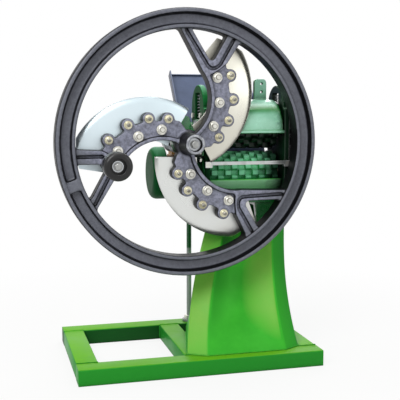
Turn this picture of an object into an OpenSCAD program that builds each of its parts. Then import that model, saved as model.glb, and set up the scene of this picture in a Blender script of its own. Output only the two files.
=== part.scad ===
// Hand chaff cutter: a three-knife flywheel on a feed head, a flared pedestal and a rail base.
// Millimetres, +Z up. The origin is on the floor under the middle of the base frame.
// Most pieces are drawn about the shaft axis: x right, y backwards from the wheel, z up.

/* [Base] */
// Length of the base frame, left to right
base_l = 576; // [540:1:620]
// Depth of the base frame, front to back
base_d = 370; // [350:1:400]
// Width of each base rail
rail_w = 50; // [44:1:56]
// Height of each base rail
rail_h = 38; // [32:1:44]
// Wall of the rail tube
rail_wall = 3; // [2:0.5:5]
// Left edge of the middle rail, from the middle of the base
middle_rail_x = -38; // [-44:1:-32]

/* [Pedestal] */
// Height of the pedestal above the rails
pedestal_h = 282; // [270:1:290]
// Left edge of the pedestal foot, from the shaft axis
foot_x0 = -12; // [-16:1:-8]
// Right edge of the pedestal foot, from the shaft axis
foot_x1 = 264; // [260:1:270]
// Left edge of the pedestal top, from the shaft axis
top_x0 = 62; // [56:1:70]
// Right edge of the pedestal top, from the shaft axis
top_x1 = 266; // [262:1:270]
// Front of the foot, from the wheel's middle plane
foot_y0 = -62; // [-66:1:-56]
// Front of the top, from the wheel's middle plane
top_y0 = 46; // [44:1:50]
// Back of the foot, from the wheel's middle plane
foot_y1 = 200; // [190:1:210]
// Back of the top, from the wheel's middle plane
top_y1 = 160; // [155:1:165]
// Width of each splayed front flange
flange_w = 42; // [36:1:48]
// How far a flange sweeps back from its ridge
flange_sweep = 26; // [18:1:32]
// How far the left back corner stands in from the left side
back_in = 55; // [40:1:60]
// Depth of the hollow between the two front ridges
front_hollow = 26; // [16:1:34]
// Wall of the pedestal shell
pedestal_wall = 6; // [4:1:8]

/* [Shaft] */
// Height of the shaft axis above the floor
shaft_z = 525; // [520:1:535]
// Shaft axis, left of the middle of the base
shaft_left = 18; // [12:1:24]
// Wheel's middle plane, behind the front edge of the base
wheel_back = 90; // [84:1:96]
// Radius of the main shaft in its bearings
shaft_r = 15; // [13:0.5:17]
// Radius of the shaft end inside the hub
hub_seat_r = 14; // [12:0.5:14]

/* [Flywheel] */
// Outer radius of the rim
rim_r = 305; // [300:1:310]
// Width of the rim along the shaft
rim_w = 50; // [46:1:52]
// Radial depth of the rim section
rim_depth = 45; // [42:1:48]
// Thickness of the web between the rim lips
rim_web = 14; // [10:1:20]
// Width of the outer lip
outer_lip = 10; // [8:1:13]
// Width of the inner lip
inner_lip = 8; // [6:1:10]
// Thickness of the cast arm plate
arm_t = 30; // [26:1:34]
// How far the ribs and spokes stand in front of the arm plate
rib_proud = 10; // [6:1:14]
// Thickness of the rib along the hollow edge of an arm
rib_t = 9; // [7:0.5:12]
// Radius of the hollow edge of an arm
arm_hollow_r = 104; // [101:0.5:106]
// Radius of the scallop round each adjusting screw
scallop_r = 15; // [13:0.5:17]
// Length of the hub in front of the wheel's middle plane
hub_front = 70; // [64:1:74]
// Radius of the hub face
hub_r = 23; // [21:0.5:26]
// Radius of the sink in the hub face
hub_sink_r = 15.5; // [15:0.5:18]

/* [Knives] */
// Thickness of a knife
knife_t = 5; // [4:0.5:6]
// Radius of the curved cutting edge
knife_r = 190; // [186:0.5:192]
// Width of a knife across its curve
knife_w = 100; // [92:1:102]
// Width of the ground bevel
bevel_w = 14; // [8:1:18]
// Largest distance of a knife from the shaft axis
knife_reach = 254; // [250:1:257]
// Gap between the knives and the shear plate
shear_gap = 0.4; // [0.4:0.1:0.8]
// Radius of a clamp bolt
clamp_r = 6; // [5:0.5:6.5]
// Radius of an adjusting screw
adjust_r = 4; // [3.5:0.5:5]

/* [Crank] */
// Distance of the crank from the shaft axis
crank_r = 188; // [184:1:192]
// Length of the grip
grip_l = 113; // [100:1:120]
// Largest radius of the grip
grip_r = 31; // [28:0.5:34]
// Radius of the crank spindle
spindle_r = 12; // [10:0.5:13]

/* [Feed head] */
// Left end of the mouth, from the shaft axis
mouth_x0 = 64; // [62:1:68]
// Width of the mouth
mouth_w = 186; // [180:1:188]
// Thickness of each cheek
cheek_t = 14; // [12:0.5:16]
// Roller axes behind the wheel's middle plane
roller_y = 106; // [104:1:110]
// Radius over the roller teeth
roller_r = 50; // [48:0.5:51]
// Radius of the roller between the teeth
roller_core_r = 40; // [37:0.5:43]
// Number of toothed rings on a roller
ring_count = 10; // [8:1:12]
// Number of teeth on each ring
ring_teeth = 10; // [8:1:12]
// Rest gap between the two rollers
roller_gap = 6; // [4:0.5:8]
// How far the upper roller can lift
roller_lift = 12; // [8:0.5:13]
// Drop from the shaft axis to the lower roller
worm_drop = 75; // [73:0.5:77]
// Radius of the roller shafts
roller_shaft_r = 15; // [13:0.5:16]
// Thickness of the shear plate
shear_t = 8.6; // [7:0.2:10]
// Drop from the shaft axis to the shear edge
shear_drop = 46; // [42:1:50]
// Wall of the hood over the upper roller
hood_wall = 4; // [3:0.5:5]
// Wall of the trough under the lower roller
chin_wall = 4; // [3:0.5:5]

/* [Drive] */
// Pitch radius of the worm
worm_r = 25; // [24:0.5:26]
// Number of starts on the worm
worm_starts = 2; // [2:1:2]
// Teeth on the worm wheel
worm_teeth = 20; // [20:1:20]
// Length of the worm
worm_l = 62; // [54:1:66]
// Face width of the worm wheel
worm_face = 36; // [30:1:40]
// Teeth on each roller gear
gear_teeth = 11; // [11:1:13]
// Face width of each roller gear
gear_face = 20; // [16:1:22]
// Wall of the worm gear case
case_wall = 5; // [4:0.5:6]

/* [Chute] */
// Left edge of the chute, from the shaft axis
chute_x0 = 30; // [26:1:40]
// Right edge of the chute, from the shaft axis
chute_x1 = 246; // [240:1:250]
// Slope of the chute floor, degrees
chute_slope = 50; // [46:1:54]
// Length of the chute floor along the slope
chute_l = 256; // [240:1:270]
// Height of the chute sides
chute_side = 22; // [16:1:28]
// Thickness of the chute sheet
chute_t = 3; // [2:0.5:4]
// Radius of the stay rod
stay_r = 6.5; // [5:0.5:8]
// Stay rod, right of the shaft axis
stay_x = 66; // [60:1:72]

/* [Fits] */
// Radial clearance of a running fit
fit = 0.05; // [0.03:0.01:0.08]
// Clearance between pieces that slide past each other
slip = 0.4; // [0.3:0.05:0.6]

/* [Hidden] */
$fn = 64;

// Finishes
rail_green = "#3f9f3a";
head_green = "#12733a";
iron_grey = "#54565e";
steel = "#c9ccd0";
zinc_yellow = "#b9a45a";
black_grip = "#1c1c1e";
bronze = "#a9783e";
sheet_blue = "#6b7894";

// Main places
wheel_y = wheel_back - base_d / 2;
rim_in = rim_r - rim_depth;
arm_count = 3;
knife_y0 = rim_w / 2;
knife_y1 = knife_y0 + knife_t;
plate_y0 = knife_y0 - arm_t;
rib_y0 = plate_y0 - rib_proud;
hub_y1 = knife_y1;
head_y0 = knife_y1 + shear_gap;
cheek_y0 = head_y0 + shear_t;
cheek_arch_r = 56;
cheek_y1 = roller_y + cheek_arch_r;
left_x0 = mouth_x0 - cheek_t;
right_x0 = mouth_x0 + mouth_w;
right_x1 = right_x0 + cheek_t;
lower_z = -worm_drop;
upper_z = lower_z + 2 * roller_r + roller_gap;
bed_t = 12;
bed_z1 = lower_z - roller_r - 9;
bed_z0 = bed_z1 - bed_t;
floor_z = -shaft_z;
rail_z = floor_z + rail_h;
pedestal_z = rail_z + pedestal_h;

// Arm layout, front view, about the shaft axis: [right, up]
hollow_edge = [51, 87.5];
hollow_a = -8;
hollow_at = hollow_edge - polar(arm_hollow_r, hollow_a);
knife_at = [-27, 119.5];
clamp_at = [[68, 150], [73, 93], [59, 39]];
adjust_at = [[100, 155], [107, 100], [95, 52], [72, 13]];
plate_edge = [
    [0, 0], [36, -11], [55, -8], [66, 10], [80, 36], [90, 55], [98, 79],
    [100, 100], [97, 131], [95, 150], [89, 181], [32, 163], [20, 100]
];
rib_a0 = -52;
rib_a1 = 36;
spoke_left_a = 94.6;
spoke_right_a = 62.2;
window_a0 = 69.5;
window_a1 = 90;
window_foot = [53, 181];
knot_at = [89, 181];
knife_a0 = -61.5;
knife_a1 = 50;
crank_a = 192.7;
crank_at = polar(crank_r, crank_a);
crank_boss_r = 19.5;
crank_boss_y0 = rib_y0 - 5;
crank_boss_y1 = knife_y0 - 2;

function polar(r, a) = r * [cos(a), sin(a)];
function unit(v) = v / norm(v);

// Points of one rounded corner at q, between the neighbours p and s
function corner(p, q, s, r, n) =
    let (
        a = unit(p - q),
        b = unit(s - q),
        h = acos(a * b) / 2,
        c = q + unit(a + b) * r / sin(h),
        u = q + a * r / tan(h) - c,
        w = q + b * r / tan(h) - c,
        a0 = atan2(u.y, u.x),
        d = atan2(w.y, w.x) - a0,
        sweep = d > 180 ? d - 360 : d < -180 ? d + 360 : d
    )
    [for (i = [0:n]) c + polar(r, a0 + sweep * i / n)];

// Closed outline with every corner rounded to the radius r
function rounded(pts, r, n = 6) =
    let (m = len(pts))
    [for (i = [0:m - 1]) each corner(pts[(i + m - 1) % m], pts[i], pts[(i + 1) % m], r, n)];

// Four corners of a straight bar of the width w from p to q
function bar(p, q, w) =
    let (d = unit(q - p), s = [-d.y, d.x] * w / 2)
    [p - s, q - s, q + s, p + s];

// Outline of a strip of the width w along a path
function strip(path, w) =
    let (
        n = len(path) - 1,
        side = [
            for (i = [0:n])
            let (
                j = max(i, 1),
                k = min(i, n - 1),
                a = unit(path[j] - path[j - 1]),
                m = unit(a + unit(path[k + 1] - path[k]))
            )
            [-m.y, m.x] * w / 2 / (m * a)
        ]
    )
    concat([for (i = [0:n]) path[i] + side[i]], [for (i = [n:-1:0]) path[i] - side[i]]);

// Involute gear outline: n teeth, pitch radius rp, tip and root heights, flank play
function gear_outline(n, rp, tip, root, pressure, play) =
    let (
        rb = rp * cos(pressure),
        ra = rp + tip,
        rr = rp - root,
        r0 = max(rb, rr),
        half = 90 / n - play / rp * 90 / PI,
        roll = tan(pressure) * 180 / PI - pressure,
        flank = [
            for (i = [0:4])
            let (r = r0 + (ra - r0) * i / 4, t = acos(rb / r))
            [r, half + roll - (tan(t) * 180 / PI - t)]
        ]
    )
    [
        for (k = [0:n - 1]) each concat(
            [polar(rr, k * 360 / n - flank[0][1])],
            [for (i = [0:4]) polar(flank[i][0], k * 360 / n - flank[i][1])],
            [for (i = [4:-1:0]) polar(flank[i][0], k * 360 / n + flank[i][1])],
            [polar(rr, k * 360 / n + flank[0][1])]
        )
    ];

// Placing helpers
module at_shaft() {
    translate([-shaft_left, wheel_y, shaft_z])
        children();
}

// Front-view outline made a slab between two planes across the shaft
module slab(y0, y1) {
    translate([0, y1, 0])
        rotate([90, 0, 0])
            linear_extrude(y1 - y0)
                children();
}

module rod_y(p, r, y0, y1) {
    translate([p.x, y0, p.y])
        rotate([-90, 0, 0])
            cylinder(r = r, h = y1 - y0);
}

module rod_x(p, r, x0, x1) {
    translate([x0, p.x, p.y])
        rotate([0, 90, 0])
            cylinder(r = r, h = x1 - x0);
}

// Profile [radius, back] turned about the shaft direction
module turned_y(p = [0, 0]) {
    translate([p.x, 0, p.y])
        rotate([-90, 0, 0])
            rotate_extrude()
                children();
}

// Profile [radius, right] turned about a roller direction; p is [back, up]
module turned_x(p) {
    translate([0, p.x, p.y])
        rotate([0, 90, 0])
            rotate_extrude()
                children();
}

module block(lo, hi) {
    translate(lo)
        cube(hi - lo);
}

module hex_y(p, r, y0, y1) {
    translate([p.x, y0, p.y])
        rotate([-90, 0, 0])
            cylinder(r = r, h = y1 - y0, $fn = 6);
}

module hex_x(p, r, x0, x1) {
    translate([x0, p.x, p.y])
        rotate([0, 90, 0])
            cylinder(r = r, h = x1 - x0, $fn = 6);
}

module on_arm(k) {
    rotate([0, -360 / arm_count * k, 0])
        children();
}

// Base frame
module rail(lo, hi) {
    difference() {
        block(lo, hi);
        block(lo + rail_wall * [1, 1, 1], hi - rail_wall * [1, 1, 1]);
    }
}

module base_front_rail() {
    color(rail_green)
        rail([-base_l / 2, -base_d / 2, 0], [base_l / 2, rail_w - base_d / 2, rail_h]);
}

module base_rear_rail() {
    color(rail_green)
        rail([-base_l / 2, base_d / 2 - rail_w, 0], [base_l / 2, base_d / 2, rail_h]);
}

module cross_rail(x0) {
    color(rail_green)
        rail([x0, rail_w - base_d / 2, 0], [x0 + rail_w, base_d / 2 - rail_w, rail_h]);
}

module base_left_rail() {
    cross_rail(-base_l / 2);
}

module base_middle_rail() {
    cross_rail(middle_rail_x);
}

module base_right_rail() {
    cross_rail(base_l / 2 - rail_w);
}

// Pedestal: rings of the same plan, from the flared foot up to the top
pedestal_steps = 8;
hollow_steps = 8;
flare_power = 2.5;

// One ring at the share t of the height from the top, drawn in by the inset
function pedestal_ring(t, z, inset) =
    let (
        x0 = top_x0 + (foot_x0 - top_x0) * t + inset,
        x1 = top_x1 + (foot_x1 - top_x1) * t - inset,
        y0 = top_y0 + (foot_y0 - top_y0) * pow(t, flare_power) + inset,
        y1 = top_y1 + (foot_y1 - top_y1) * t - inset,
        xa = x0 + flange_w,
        xb = x1 - flange_w
    )
    concat(
        [[x0 + back_in, y1, z], [x0, y0 + flange_sweep, z]],
        [
            for (i = [0:hollow_steps])
            let (s = i / hollow_steps)
            [xa + (xb - xa) * s, y0 + front_hollow * sin(180 * s), z]
        ],
        [[x1, y0 + flange_sweep, z], [x1, y1, z]]
    );

module pedestal_skin(z0, z1, inset) {
    rings = [
        for (i = [0:pedestal_steps])
        let (s = pow(i / pedestal_steps, 1.3), z = z0 + (z1 - z0) * s)
        pedestal_ring((pedestal_z - z) / pedestal_h, z, inset)
    ];
    n = len(rings[0]);
    sides = [
        for (i = [0:pedestal_steps - 1], j = [0:n - 1])
        let (a = i * n + j, b = i * n + (j + 1) % n)
        each [[a, b + n, b], [a, a + n, b + n]]
    ];
    polyhedron(
        points = [for (ring = rings) each ring],
        faces = concat(
            [[for (j = [0:n - 1]) j]],
            sides,
            [[for (j = [n - 1:-1:0]) pedestal_steps * n + j]]
        )
    );
}

module pedestal() {
    color(rail_green)
        at_shaft()
            difference() {
                pedestal_skin(rail_z, pedestal_z, 0);
                pedestal_skin(rail_z + pedestal_wall, pedestal_z - pedestal_wall, pedestal_wall);
            }
}

// Neck between the pedestal and the head
neck_w = 84;
neck_y0 = cheek_y0 + 13;
neck_y1 = cheek_y1 - 13;
neck_wall = 16;
neck_back = 14;
neck_lean = 8;

module neck() {
    color(head_green)
        at_shaft()
            difference() {
                slab(neck_y0, neck_y1)
                    polygon(rounded([
                        [right_x1 - neck_w, bed_z0], [right_x1 - neck_w + neck_lean, pedestal_z],
                        [right_x1, pedestal_z], [right_x1, bed_z0]
                    ], 1));
                slab(neck_y0 + neck_wall, neck_y1 - neck_wall)
                    polygon(rounded([
                        [right_x1 - neck_w - 1, bed_z0 - 10], [right_x1 - neck_w - 1, pedestal_z + 10],
                        [right_x1 - neck_back, pedestal_z + 10], [right_x1 - neck_back, bed_z0 - 10]
                    ], 6));
            }
}

// Head frame
cheek_bolt_r = 3;
cheek_bolt_head = 5;
cheek_bolt_bite = 15;
cheek_bolt_at = [
    for (x = [left_x0 + cheek_t / 2, right_x0 + cheek_t / 2], y = [cheek_y0 + 6, cheek_y1 - 5]) [x, y]
];

module bed_plate() {
    color(head_green)
        at_shaft()
            difference() {
                block([left_x0, cheek_y0 - 3, bed_z0], [right_x1 + 2, cheek_y1 + 4, bed_z1]);
                cheek_bolt_holes();
            }
}

module cheek_bolt_holes() {
    for (p = cheek_bolt_at)
        translate([p.x, p.y, bed_z0 - 1])
            cylinder(r = cheek_bolt_r + fit, h = bed_t + cheek_bolt_bite + 2);
}

// Hexagon bolts up through the bed plate into the cheeks
module cheek_bolts() {
    color(steel)
        at_shaft()
            for (p = cheek_bolt_at)
                translate([p.x, p.y, bed_z0]) {
                    cylinder(r = cheek_bolt_r, h = bed_t + cheek_bolt_bite);
                    translate([0, 0, -cheek_bolt_head])
                        cylinder(r = cheek_bolt_r * 2, h = cheek_bolt_head, $fn = 6);
                }
}

cheek_arch_z = upper_z + 49;
slot_w = 40;
slot_z0 = upper_z - 22.3;
slot_z1 = cheek_arch_z + 36;
block_h = 44;
block_z0 = upper_z - block_h / 2;
bush_wall = 6;
lower_bush_r = roller_shaft_r + bush_wall;
hood_bolt_r = 4;
hood_bolt_at = [[roller_y - 36, upper_z + 31], [roller_y + 36, upper_z + 31]];
shear_bolt_r = 4;
shear_bolt_z = -shear_drop - 7;
bracket_bolt_r = 5;
case_bolt_r = 4;

module cheek_plate(x0) {
    difference() {
        union() {
            block([x0, cheek_y0, bed_z1], [x0 + cheek_t, cheek_y1, cheek_arch_z]);
            rod_x([roller_y, cheek_arch_z], cheek_arch_r, x0, x0 + cheek_t);
        }
        block(
            [x0 - 1, roller_y - slot_w / 2, slot_z0],
            [x0 + cheek_t + 1, roller_y + slot_w / 2, slot_z1]
        );
        rod_x([roller_y, lower_z], lower_bush_r + fit, x0 - 1, x0 + cheek_t + 1);
        for (p = hood_bolt_at)
            rod_x(p, hood_bolt_r + fit, x0 - 1, x0 + cheek_t + 1);
        rod_y([x0 + cheek_t / 2, shear_bolt_z], shear_bolt_r + fit, cheek_y0 - 1, cheek_y0 + 18);
        cheek_bolt_holes();
    }
}

module left_cheek() {
    color(head_green)
        at_shaft()
            difference() {
                cheek_plate(left_x0);
                for (p = bracket_bolt_at)
                    rod_x(p, bracket_bolt_r + fit, left_x0 - 1, mouth_x0 + 1);
                for (p = case_bolt_at)
                    rod_x(p, case_bolt_r + fit, left_x0 - 1, left_x0 + 11);
            }
}

module right_cheek() {
    color(head_green)
        at_shaft()
            cheek_plate(right_x0);
}

// Hood over the upper roller
hood_r = roller_r + roller_lift + 4 + hood_wall;
hood_end = 5;
hood_round = 12;
hood_z0 = upper_z - 7;
lip_t = 7;
lug_x0 = mouth_x0 + 133;
lug_w = 32;
lug_top = upper_z + 121;
lug_y0 = roller_y + 6;
lug_t = 12;

function drum_profile(r, x0, x1, edge) = concat(
    [[0, x0]],
    [for (i = [0:6]) [r - edge + edge * sin(15 * i), x0 + edge - edge * cos(15 * i)]],
    [for (i = [6:-1:0]) [r - edge + edge * sin(15 * i), x1 - edge + edge * cos(15 * i)]],
    [[0, x1]]
);

module hood() {
    color(head_green)
        at_shaft()
            difference() {
                union() {
                    difference() {
                        turned_x([roller_y, upper_z])
                            polygon(drum_profile(hood_r, mouth_x0, right_x0, hood_round));
                        block(
                            [mouth_x0 - 1, roller_y - hood_r - 1, upper_z - hood_r - 1],
                            [right_x0 + 1, roller_y + hood_r + 1, hood_z0]
                        );
                    }
                    block(
                        [mouth_x0, head_y0 + 1, hood_z0 - 4],
                        [right_x0, roller_y - hood_r + 12, hood_z0 - 4 + lip_t]
                    );
                    slab(lug_y0, lug_y0 + lug_t)
                        polygon(rounded([
                            [lug_x0, upper_z + 56], [lug_x0 + lug_w, upper_z + 56],
                            [lug_x0 + lug_w, lug_top], [lug_x0, lug_top]
                        ], 9));
                }
                turned_x([roller_y, upper_z])
                    polygon(drum_profile(
                        hood_r - hood_wall, mouth_x0 + hood_end, right_x0 - hood_end, hood_round - hood_wall
                    ));
                block(
                    [mouth_x0 - 1, roller_y - roller_shaft_r - 1, upper_z - hood_r],
                    [right_x0 + 1, roller_y + roller_shaft_r + 1, upper_z + roller_lift]
                );
                rod_x([roller_y, upper_z + roller_lift], roller_shaft_r + 1, mouth_x0 - 1, right_x0 + 1);
                for (p = hood_bolt_at) {
                    rod_x(p, hood_bolt_r + fit, mouth_x0 - 1, mouth_x0 + hood_end + 1);
                    rod_x(p, hood_bolt_r + fit, right_x0 - hood_end - 1, right_x0 + 1);
                }
                for (z = [lug_top - 12, lug_top - 32])
                    rod_y([lug_x0 + lug_w * 0.6, z], 3, lug_y0 - 1, lug_y0 + lug_t + 1);
            }
}

module hood_bolts() {
    color(steel)
        at_shaft()
            for (p = hood_bolt_at) {
                rod_x(p, hood_bolt_r, left_x0, mouth_x0 + hood_end);
                hex_x(p, hood_bolt_r * 1.8, left_x0 - 5, left_x0);
                rod_x(p, hood_bolt_r, right_x0 - hood_end, right_x1);
                hex_x(p, hood_bolt_r * 1.8, right_x1, right_x1 + 5);
            }
}

// Trough under the lower roller
chin_r = roller_r + 4 + chin_wall;

module chin() {
    color(head_green)
        at_shaft()
            difference() {
                rod_x([roller_y, lower_z], chin_r, mouth_x0, right_x0);
                rod_x([roller_y, lower_z], chin_r - chin_wall, mouth_x0 - 1, right_x0 + 1);
                block(
                    [mouth_x0 - 1, roller_y - chin_r - 1, lower_z - 15],
                    [right_x0 + 1, roller_y + chin_r + 1, lower_z + chin_r + 1]
                );
            }
}

// Shear plate across the mouth: a narrow bar between two bolted ears
shear_h = 14;
shear_bar_h = 8;
shear_ear = 3;

module shear_plate() {
    color(steel)
        at_shaft()
            difference() {
                block([left_x0, head_y0, -shear_drop - shear_h], [right_x1, cheek_y0, -shear_drop]);
                block(
                    [mouth_x0 + shear_ear, head_y0 - 1, -shear_drop - shear_h - 1],
                    [right_x0 - shear_ear, cheek_y0 + 1, -shear_drop - shear_bar_h]
                );
                for (x = [left_x0 + cheek_t / 2, right_x0 + cheek_t / 2])
                    shear_bolt(x, fit);
            }
}

// Countersunk bolt, flush with the front of the shear plate; grow gives the hole
module shear_bolt(x, grow) {
    rod_y([x, shear_bolt_z], shear_bolt_r + grow, head_y0 + 1, cheek_y0 + 16);
    translate([x, head_y0, shear_bolt_z])
        rotate([-90, 0, 0])
            cylinder(r1 = shear_bolt_r + 3 + grow, r2 = shear_bolt_r + grow, h = 3);
}

module shear_bolts() {
    color(steel)
        at_shaft()
            for (x = [left_x0 + cheek_t / 2, right_x0 + cheek_t / 2])
                shear_bolt(x, 0);
}

// Main bearings, bracketed from the left cheek
bearing_l = 20;
front_bearing_y = cheek_y0 + 3;
rear_bearing_y = cheek_y1 - bearing_l - 2;
boss_r = 29;
main_bush_r = shaft_r + bush_wall;
bracket_z = [-32, 46];
bracket_bolt_z = [-22, 36];
bracket_pad = 6;
bracket_bolt_at = [
    for (y = [front_bearing_y, rear_bearing_y], z = bracket_bolt_z) [y + bearing_l / 2, z]
];

cup_r = 10;
cup_stem_r = 3;
cup_seat = 62;
oil_box = [
    [-14, 16], [-19, 42], [-14, cup_seat - 3], [-10, cup_seat],
    [10, cup_seat], [14, cup_seat - 3], [19, 42], [14, 16]
];

module bearing(y0) {
    y1 = y0 + bearing_l;
    difference() {
        union() {
            rod_y([0, 0], boss_r, y0, y1);
            slab(y0, y1)
                polygon(rounded([
                    [0, -20], [left_x0 - 1, bracket_z[0] + 12], [left_x0 - 1, bracket_z[1] - 12], [0, boss_r - 2]
                ], 0.5));
            slab(y0 - 2, y1 + 2)
                polygon([
                    [left_x0 - bracket_pad, bracket_z[0]], [left_x0, bracket_z[0]],
                    [left_x0, bracket_z[1]], [left_x0 - bracket_pad, bracket_z[1]]
                ]);
            slab(y0, y1)
                polygon(oil_box);
        }
        rod_y([0, 0], main_bush_r + fit, y0 - 3, y1 + 3);
        translate([0, (y0 + y1) / 2, 0])
            cylinder(r = cup_stem_r + fit, h = cup_seat + 1);
        for (z = bracket_bolt_z)
            rod_x([(y0 + y1) / 2, z], bracket_bolt_r + fit, left_x0 - 30, left_x0 + 1);
        for (z = bracket_bolt_z)
            rod_x([(y0 + y1) / 2, z], bracket_bolt_r * 2.1, left_x0 - 26, left_x0 - bracket_pad);
    }
}

module front_bearing() {
    color(head_green)
        at_shaft()
            bearing(front_bearing_y);
}

module rear_bearing() {
    color(head_green)
        at_shaft()
            bearing(rear_bearing_y);
}

module main_bushes() {
    color(bronze)
        at_shaft()
            for (y = [front_bearing_y, rear_bearing_y])
                difference() {
                    rod_y([0, 0], main_bush_r, y, y + bearing_l);
                    rod_y([0, 0], shaft_r + fit, y - 1, y + bearing_l + 1);
                }
}

module oil_cups() {
    color(head_green)
        at_shaft()
            for (y = [front_bearing_y, rear_bearing_y])
                translate([0, y + bearing_l / 2, cup_seat]) {
                    translate([0, 0, -6])
                        cylinder(r = cup_stem_r, h = 6);
                    cylinder(r = cup_r - 1.5, h = 4, $fn = 6);
                    translate([0, 0, 4])
                        cylinder(r = cup_r - 0.5, h = 9);
                    translate([0, 0, 13])
                        cylinder(r1 = cup_r, r2 = cup_r - 3, h = 4);
                }
}

module bearing_bolts() {
    color(steel)
        at_shaft()
            for (p = bracket_bolt_at) {
                rod_x(p, bracket_bolt_r, left_x0 - bracket_pad, mouth_x0);
                hex_x(p, bracket_bolt_r * 1.8, left_x0 - bracket_pad - 6, left_x0 - bracket_pad);
            }
}

// Worm gear case: a drum round the worm wheel with its top cut away for the worm
wheel_tip = 5;
worm_wheel_r = worm_drop - worm_r;
case_r = worm_wheel_r + wheel_tip + 3 + case_wall;
case_x0 = -70;
case_edge = 16;
case_top = lower_z + 39;
case_open_x0 = -36;
case_flange_r = case_r + 10;
case_flange_t = 6;
case_bolt_at = [
    for (a = [150, -152, -130, -50]) [roller_y, lower_z] + polar(case_r + 4, a)
];

module gear_case() {
    color(head_green)
        at_shaft()
            difference() {
                turned_x([roller_y, lower_z])
                    polygon(concat(
                        [[0, case_x0]],
                        [
                            for (i = [0:6])
                            [
                                case_r - case_edge + case_edge * sin(15 * i),
                                case_x0 + case_edge - case_edge * cos(15 * i)
                            ]
                        ],
                        [
                            [case_r, left_x0 - case_flange_t - 4], [case_flange_r, left_x0 - case_flange_t],
                            [case_flange_r, left_x0], [0, left_x0]
                        ]
                    ));
                rod_x([roller_y, lower_z], case_r - case_wall, case_x0 + case_wall + 6, left_x0 + 1);
                block(
                    [case_open_x0, roller_y - case_flange_r - 1, case_top],
                    [left_x0 + 1, roller_y + case_flange_r + 1, lower_z + case_flange_r + 1]
                );
                for (p = case_bolt_at) {
                    rod_x(p, case_bolt_r + fit, left_x0 - case_flange_t - 1, left_x0 + 1);
                    rod_x(p, case_bolt_r * 2, left_x0 - case_flange_t - 20, left_x0 - case_flange_t);
                }
            }
}

module case_bolts() {
    color(steel)
        at_shaft()
            for (p = case_bolt_at) {
                rod_x(p, case_bolt_r, left_x0 - case_flange_t, left_x0 + 10);
                hex_x(p, case_bolt_r * 1.7, left_x0 - case_flange_t - 5, left_x0 - case_flange_t);
            }
}

module lower_bushes() {
    color(bronze)
        at_shaft()
            for (x = [left_x0, right_x0])
                difference() {
                    rod_x([roller_y, lower_z], lower_bush_r, x, x + cheek_t);
                    rod_x([roller_y, lower_z], roller_shaft_r + fit, x - 1, x + cheek_t + 1);
                }
}

// Pressure springs over the upper bearing blocks
spring_wire = 2.4;
spring_r = 5;
spring_turns = 8;
spring_rings = 8;
spring_sides = 6;
spring_z0 = block_z0 + block_h;
spring_l = slot_z1 - spring_z0;

// Middle line of a spring: straight ends and a steady climb between them
spring_path = concat(
    [[spring_r, 0, 0]],
    [
        for (i = [0:spring_turns * spring_rings])
        let (s = i / spring_rings)
        concat(
            polar(spring_r, 360 * s),
            [spring_wire + (spring_l - 2 * spring_wire) * s / spring_turns]
        )
    ],
    [[spring_r, 0, spring_l]]
);
spring_clear = min([
    for (i = [1:len(spring_path) - 2 - spring_rings])
    norm(spring_path[i + spring_rings] - spring_path[i]) - spring_wire
]);
echo(spring_least_gap = spring_clear);

function spring_ring(i) =
    let (
        last = len(spring_path) - 1,
        p = spring_path[i],
        d = unit(spring_path[min(i + 1, last)] - spring_path[max(i - 1, 0)]),
        ahead = (i == 0 || i == last) ? [0, 0, 1] : d,
        side = unit(cross(ahead, [p.x, p.y, 0])),
        out = cross(side, ahead)
    )
    [
        for (k = [0:spring_sides - 1])
        p + spring_wire / 2 * (cos(60 * k) * out + sin(60 * k) * side)
    ];

module spring() {
    n = spring_sides;
    m = len(spring_path);
    skin = [
        for (i = [0:m - 2], k = [0:n - 1])
        let (a = i * n + k, b = i * n + (k + 1) % n)
        each [[a, b + n, b], [a, a + n, b + n]]
    ];
    ends = [
        for (k = [1:n - 2])
        each [[0, k, k + 1], [(m - 1) * n, (m - 1) * n + k + 1, (m - 1) * n + k]]
    ];
    polyhedron(
        points = [for (i = [0:m - 1]) each spring_ring(i)],
        faces = concat(skin, ends)
    );
}

module pressure_springs() {
    color(steel)
        at_shaft()
            for (x = [left_x0, right_x0])
                translate([x + cheek_t / 2, roller_y, spring_z0])
                    spring();
}

// Feed chute, drawn flat and tipped up behind the rollers
chute_y0 = cheek_y1 + 8;
chute_z0 = upper_z - roller_r - 12;
chute_hem = 8;
chute_side_y0 = 28;

// Frame of the chute floor: x right, y up the slope, z off the sheet
module on_chute() {
    translate([0, chute_y0, chute_z0])
        rotate([chute_slope, 0, 0])
            children();
}

module chute() {
    color(sheet_blue)
        at_shaft()
            on_chute()
                difference() {
                    union() {
                        block([chute_x0, 0, 0], [chute_x1, chute_l, chute_t]);
                        for (x = [chute_x0, chute_x1 - chute_t])
                            block([x, chute_side_y0, 0], [x + chute_t, chute_l, chute_side]);
                        block(
                            [chute_x0, chute_l - chute_t, 0],
                            [chute_x1, chute_l, chute_hem]
                        );
                    }
                    for (p = rivet_at)
                        translate([p.x, p.y, -1])
                            cylinder(r = rivet_r + fit, h = chute_t + 2);
                }
}

rivet_r = 3;
bracket_leg = 40;
bracket_t = 5;
bracket_x0 = left_x0;
bracket_x1 = chute_x1 - 6;
rivet_at = [
    for (s = [0.04, 0.32, 0.62, 0.94])
    [bracket_x0 + (bracket_x1 - bracket_x0) * s, bracket_leg - 12]
];

// Angle behind the cheeks: a flat leg on their rear edges and a sloped leg under the chute
module chute_bracket() {
    color(head_green)
        at_shaft()
            difference() {
                union() {
                    block(
                        [bracket_x0, cheek_y1, chute_z0 - 46],
                        [right_x1, cheek_y1 + bracket_t, chute_z0 - 2]
                    );
                    on_chute()
                        block([bracket_x0 + 2, -8, -bracket_t], [bracket_x1, bracket_leg, 0]);
                }
                on_chute()
                    for (p = rivet_at)
                        translate([p.x, p.y, -bracket_t - 1])
                            cylinder(r = rivet_r + fit, h = bracket_t + 2);
            }
}

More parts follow.
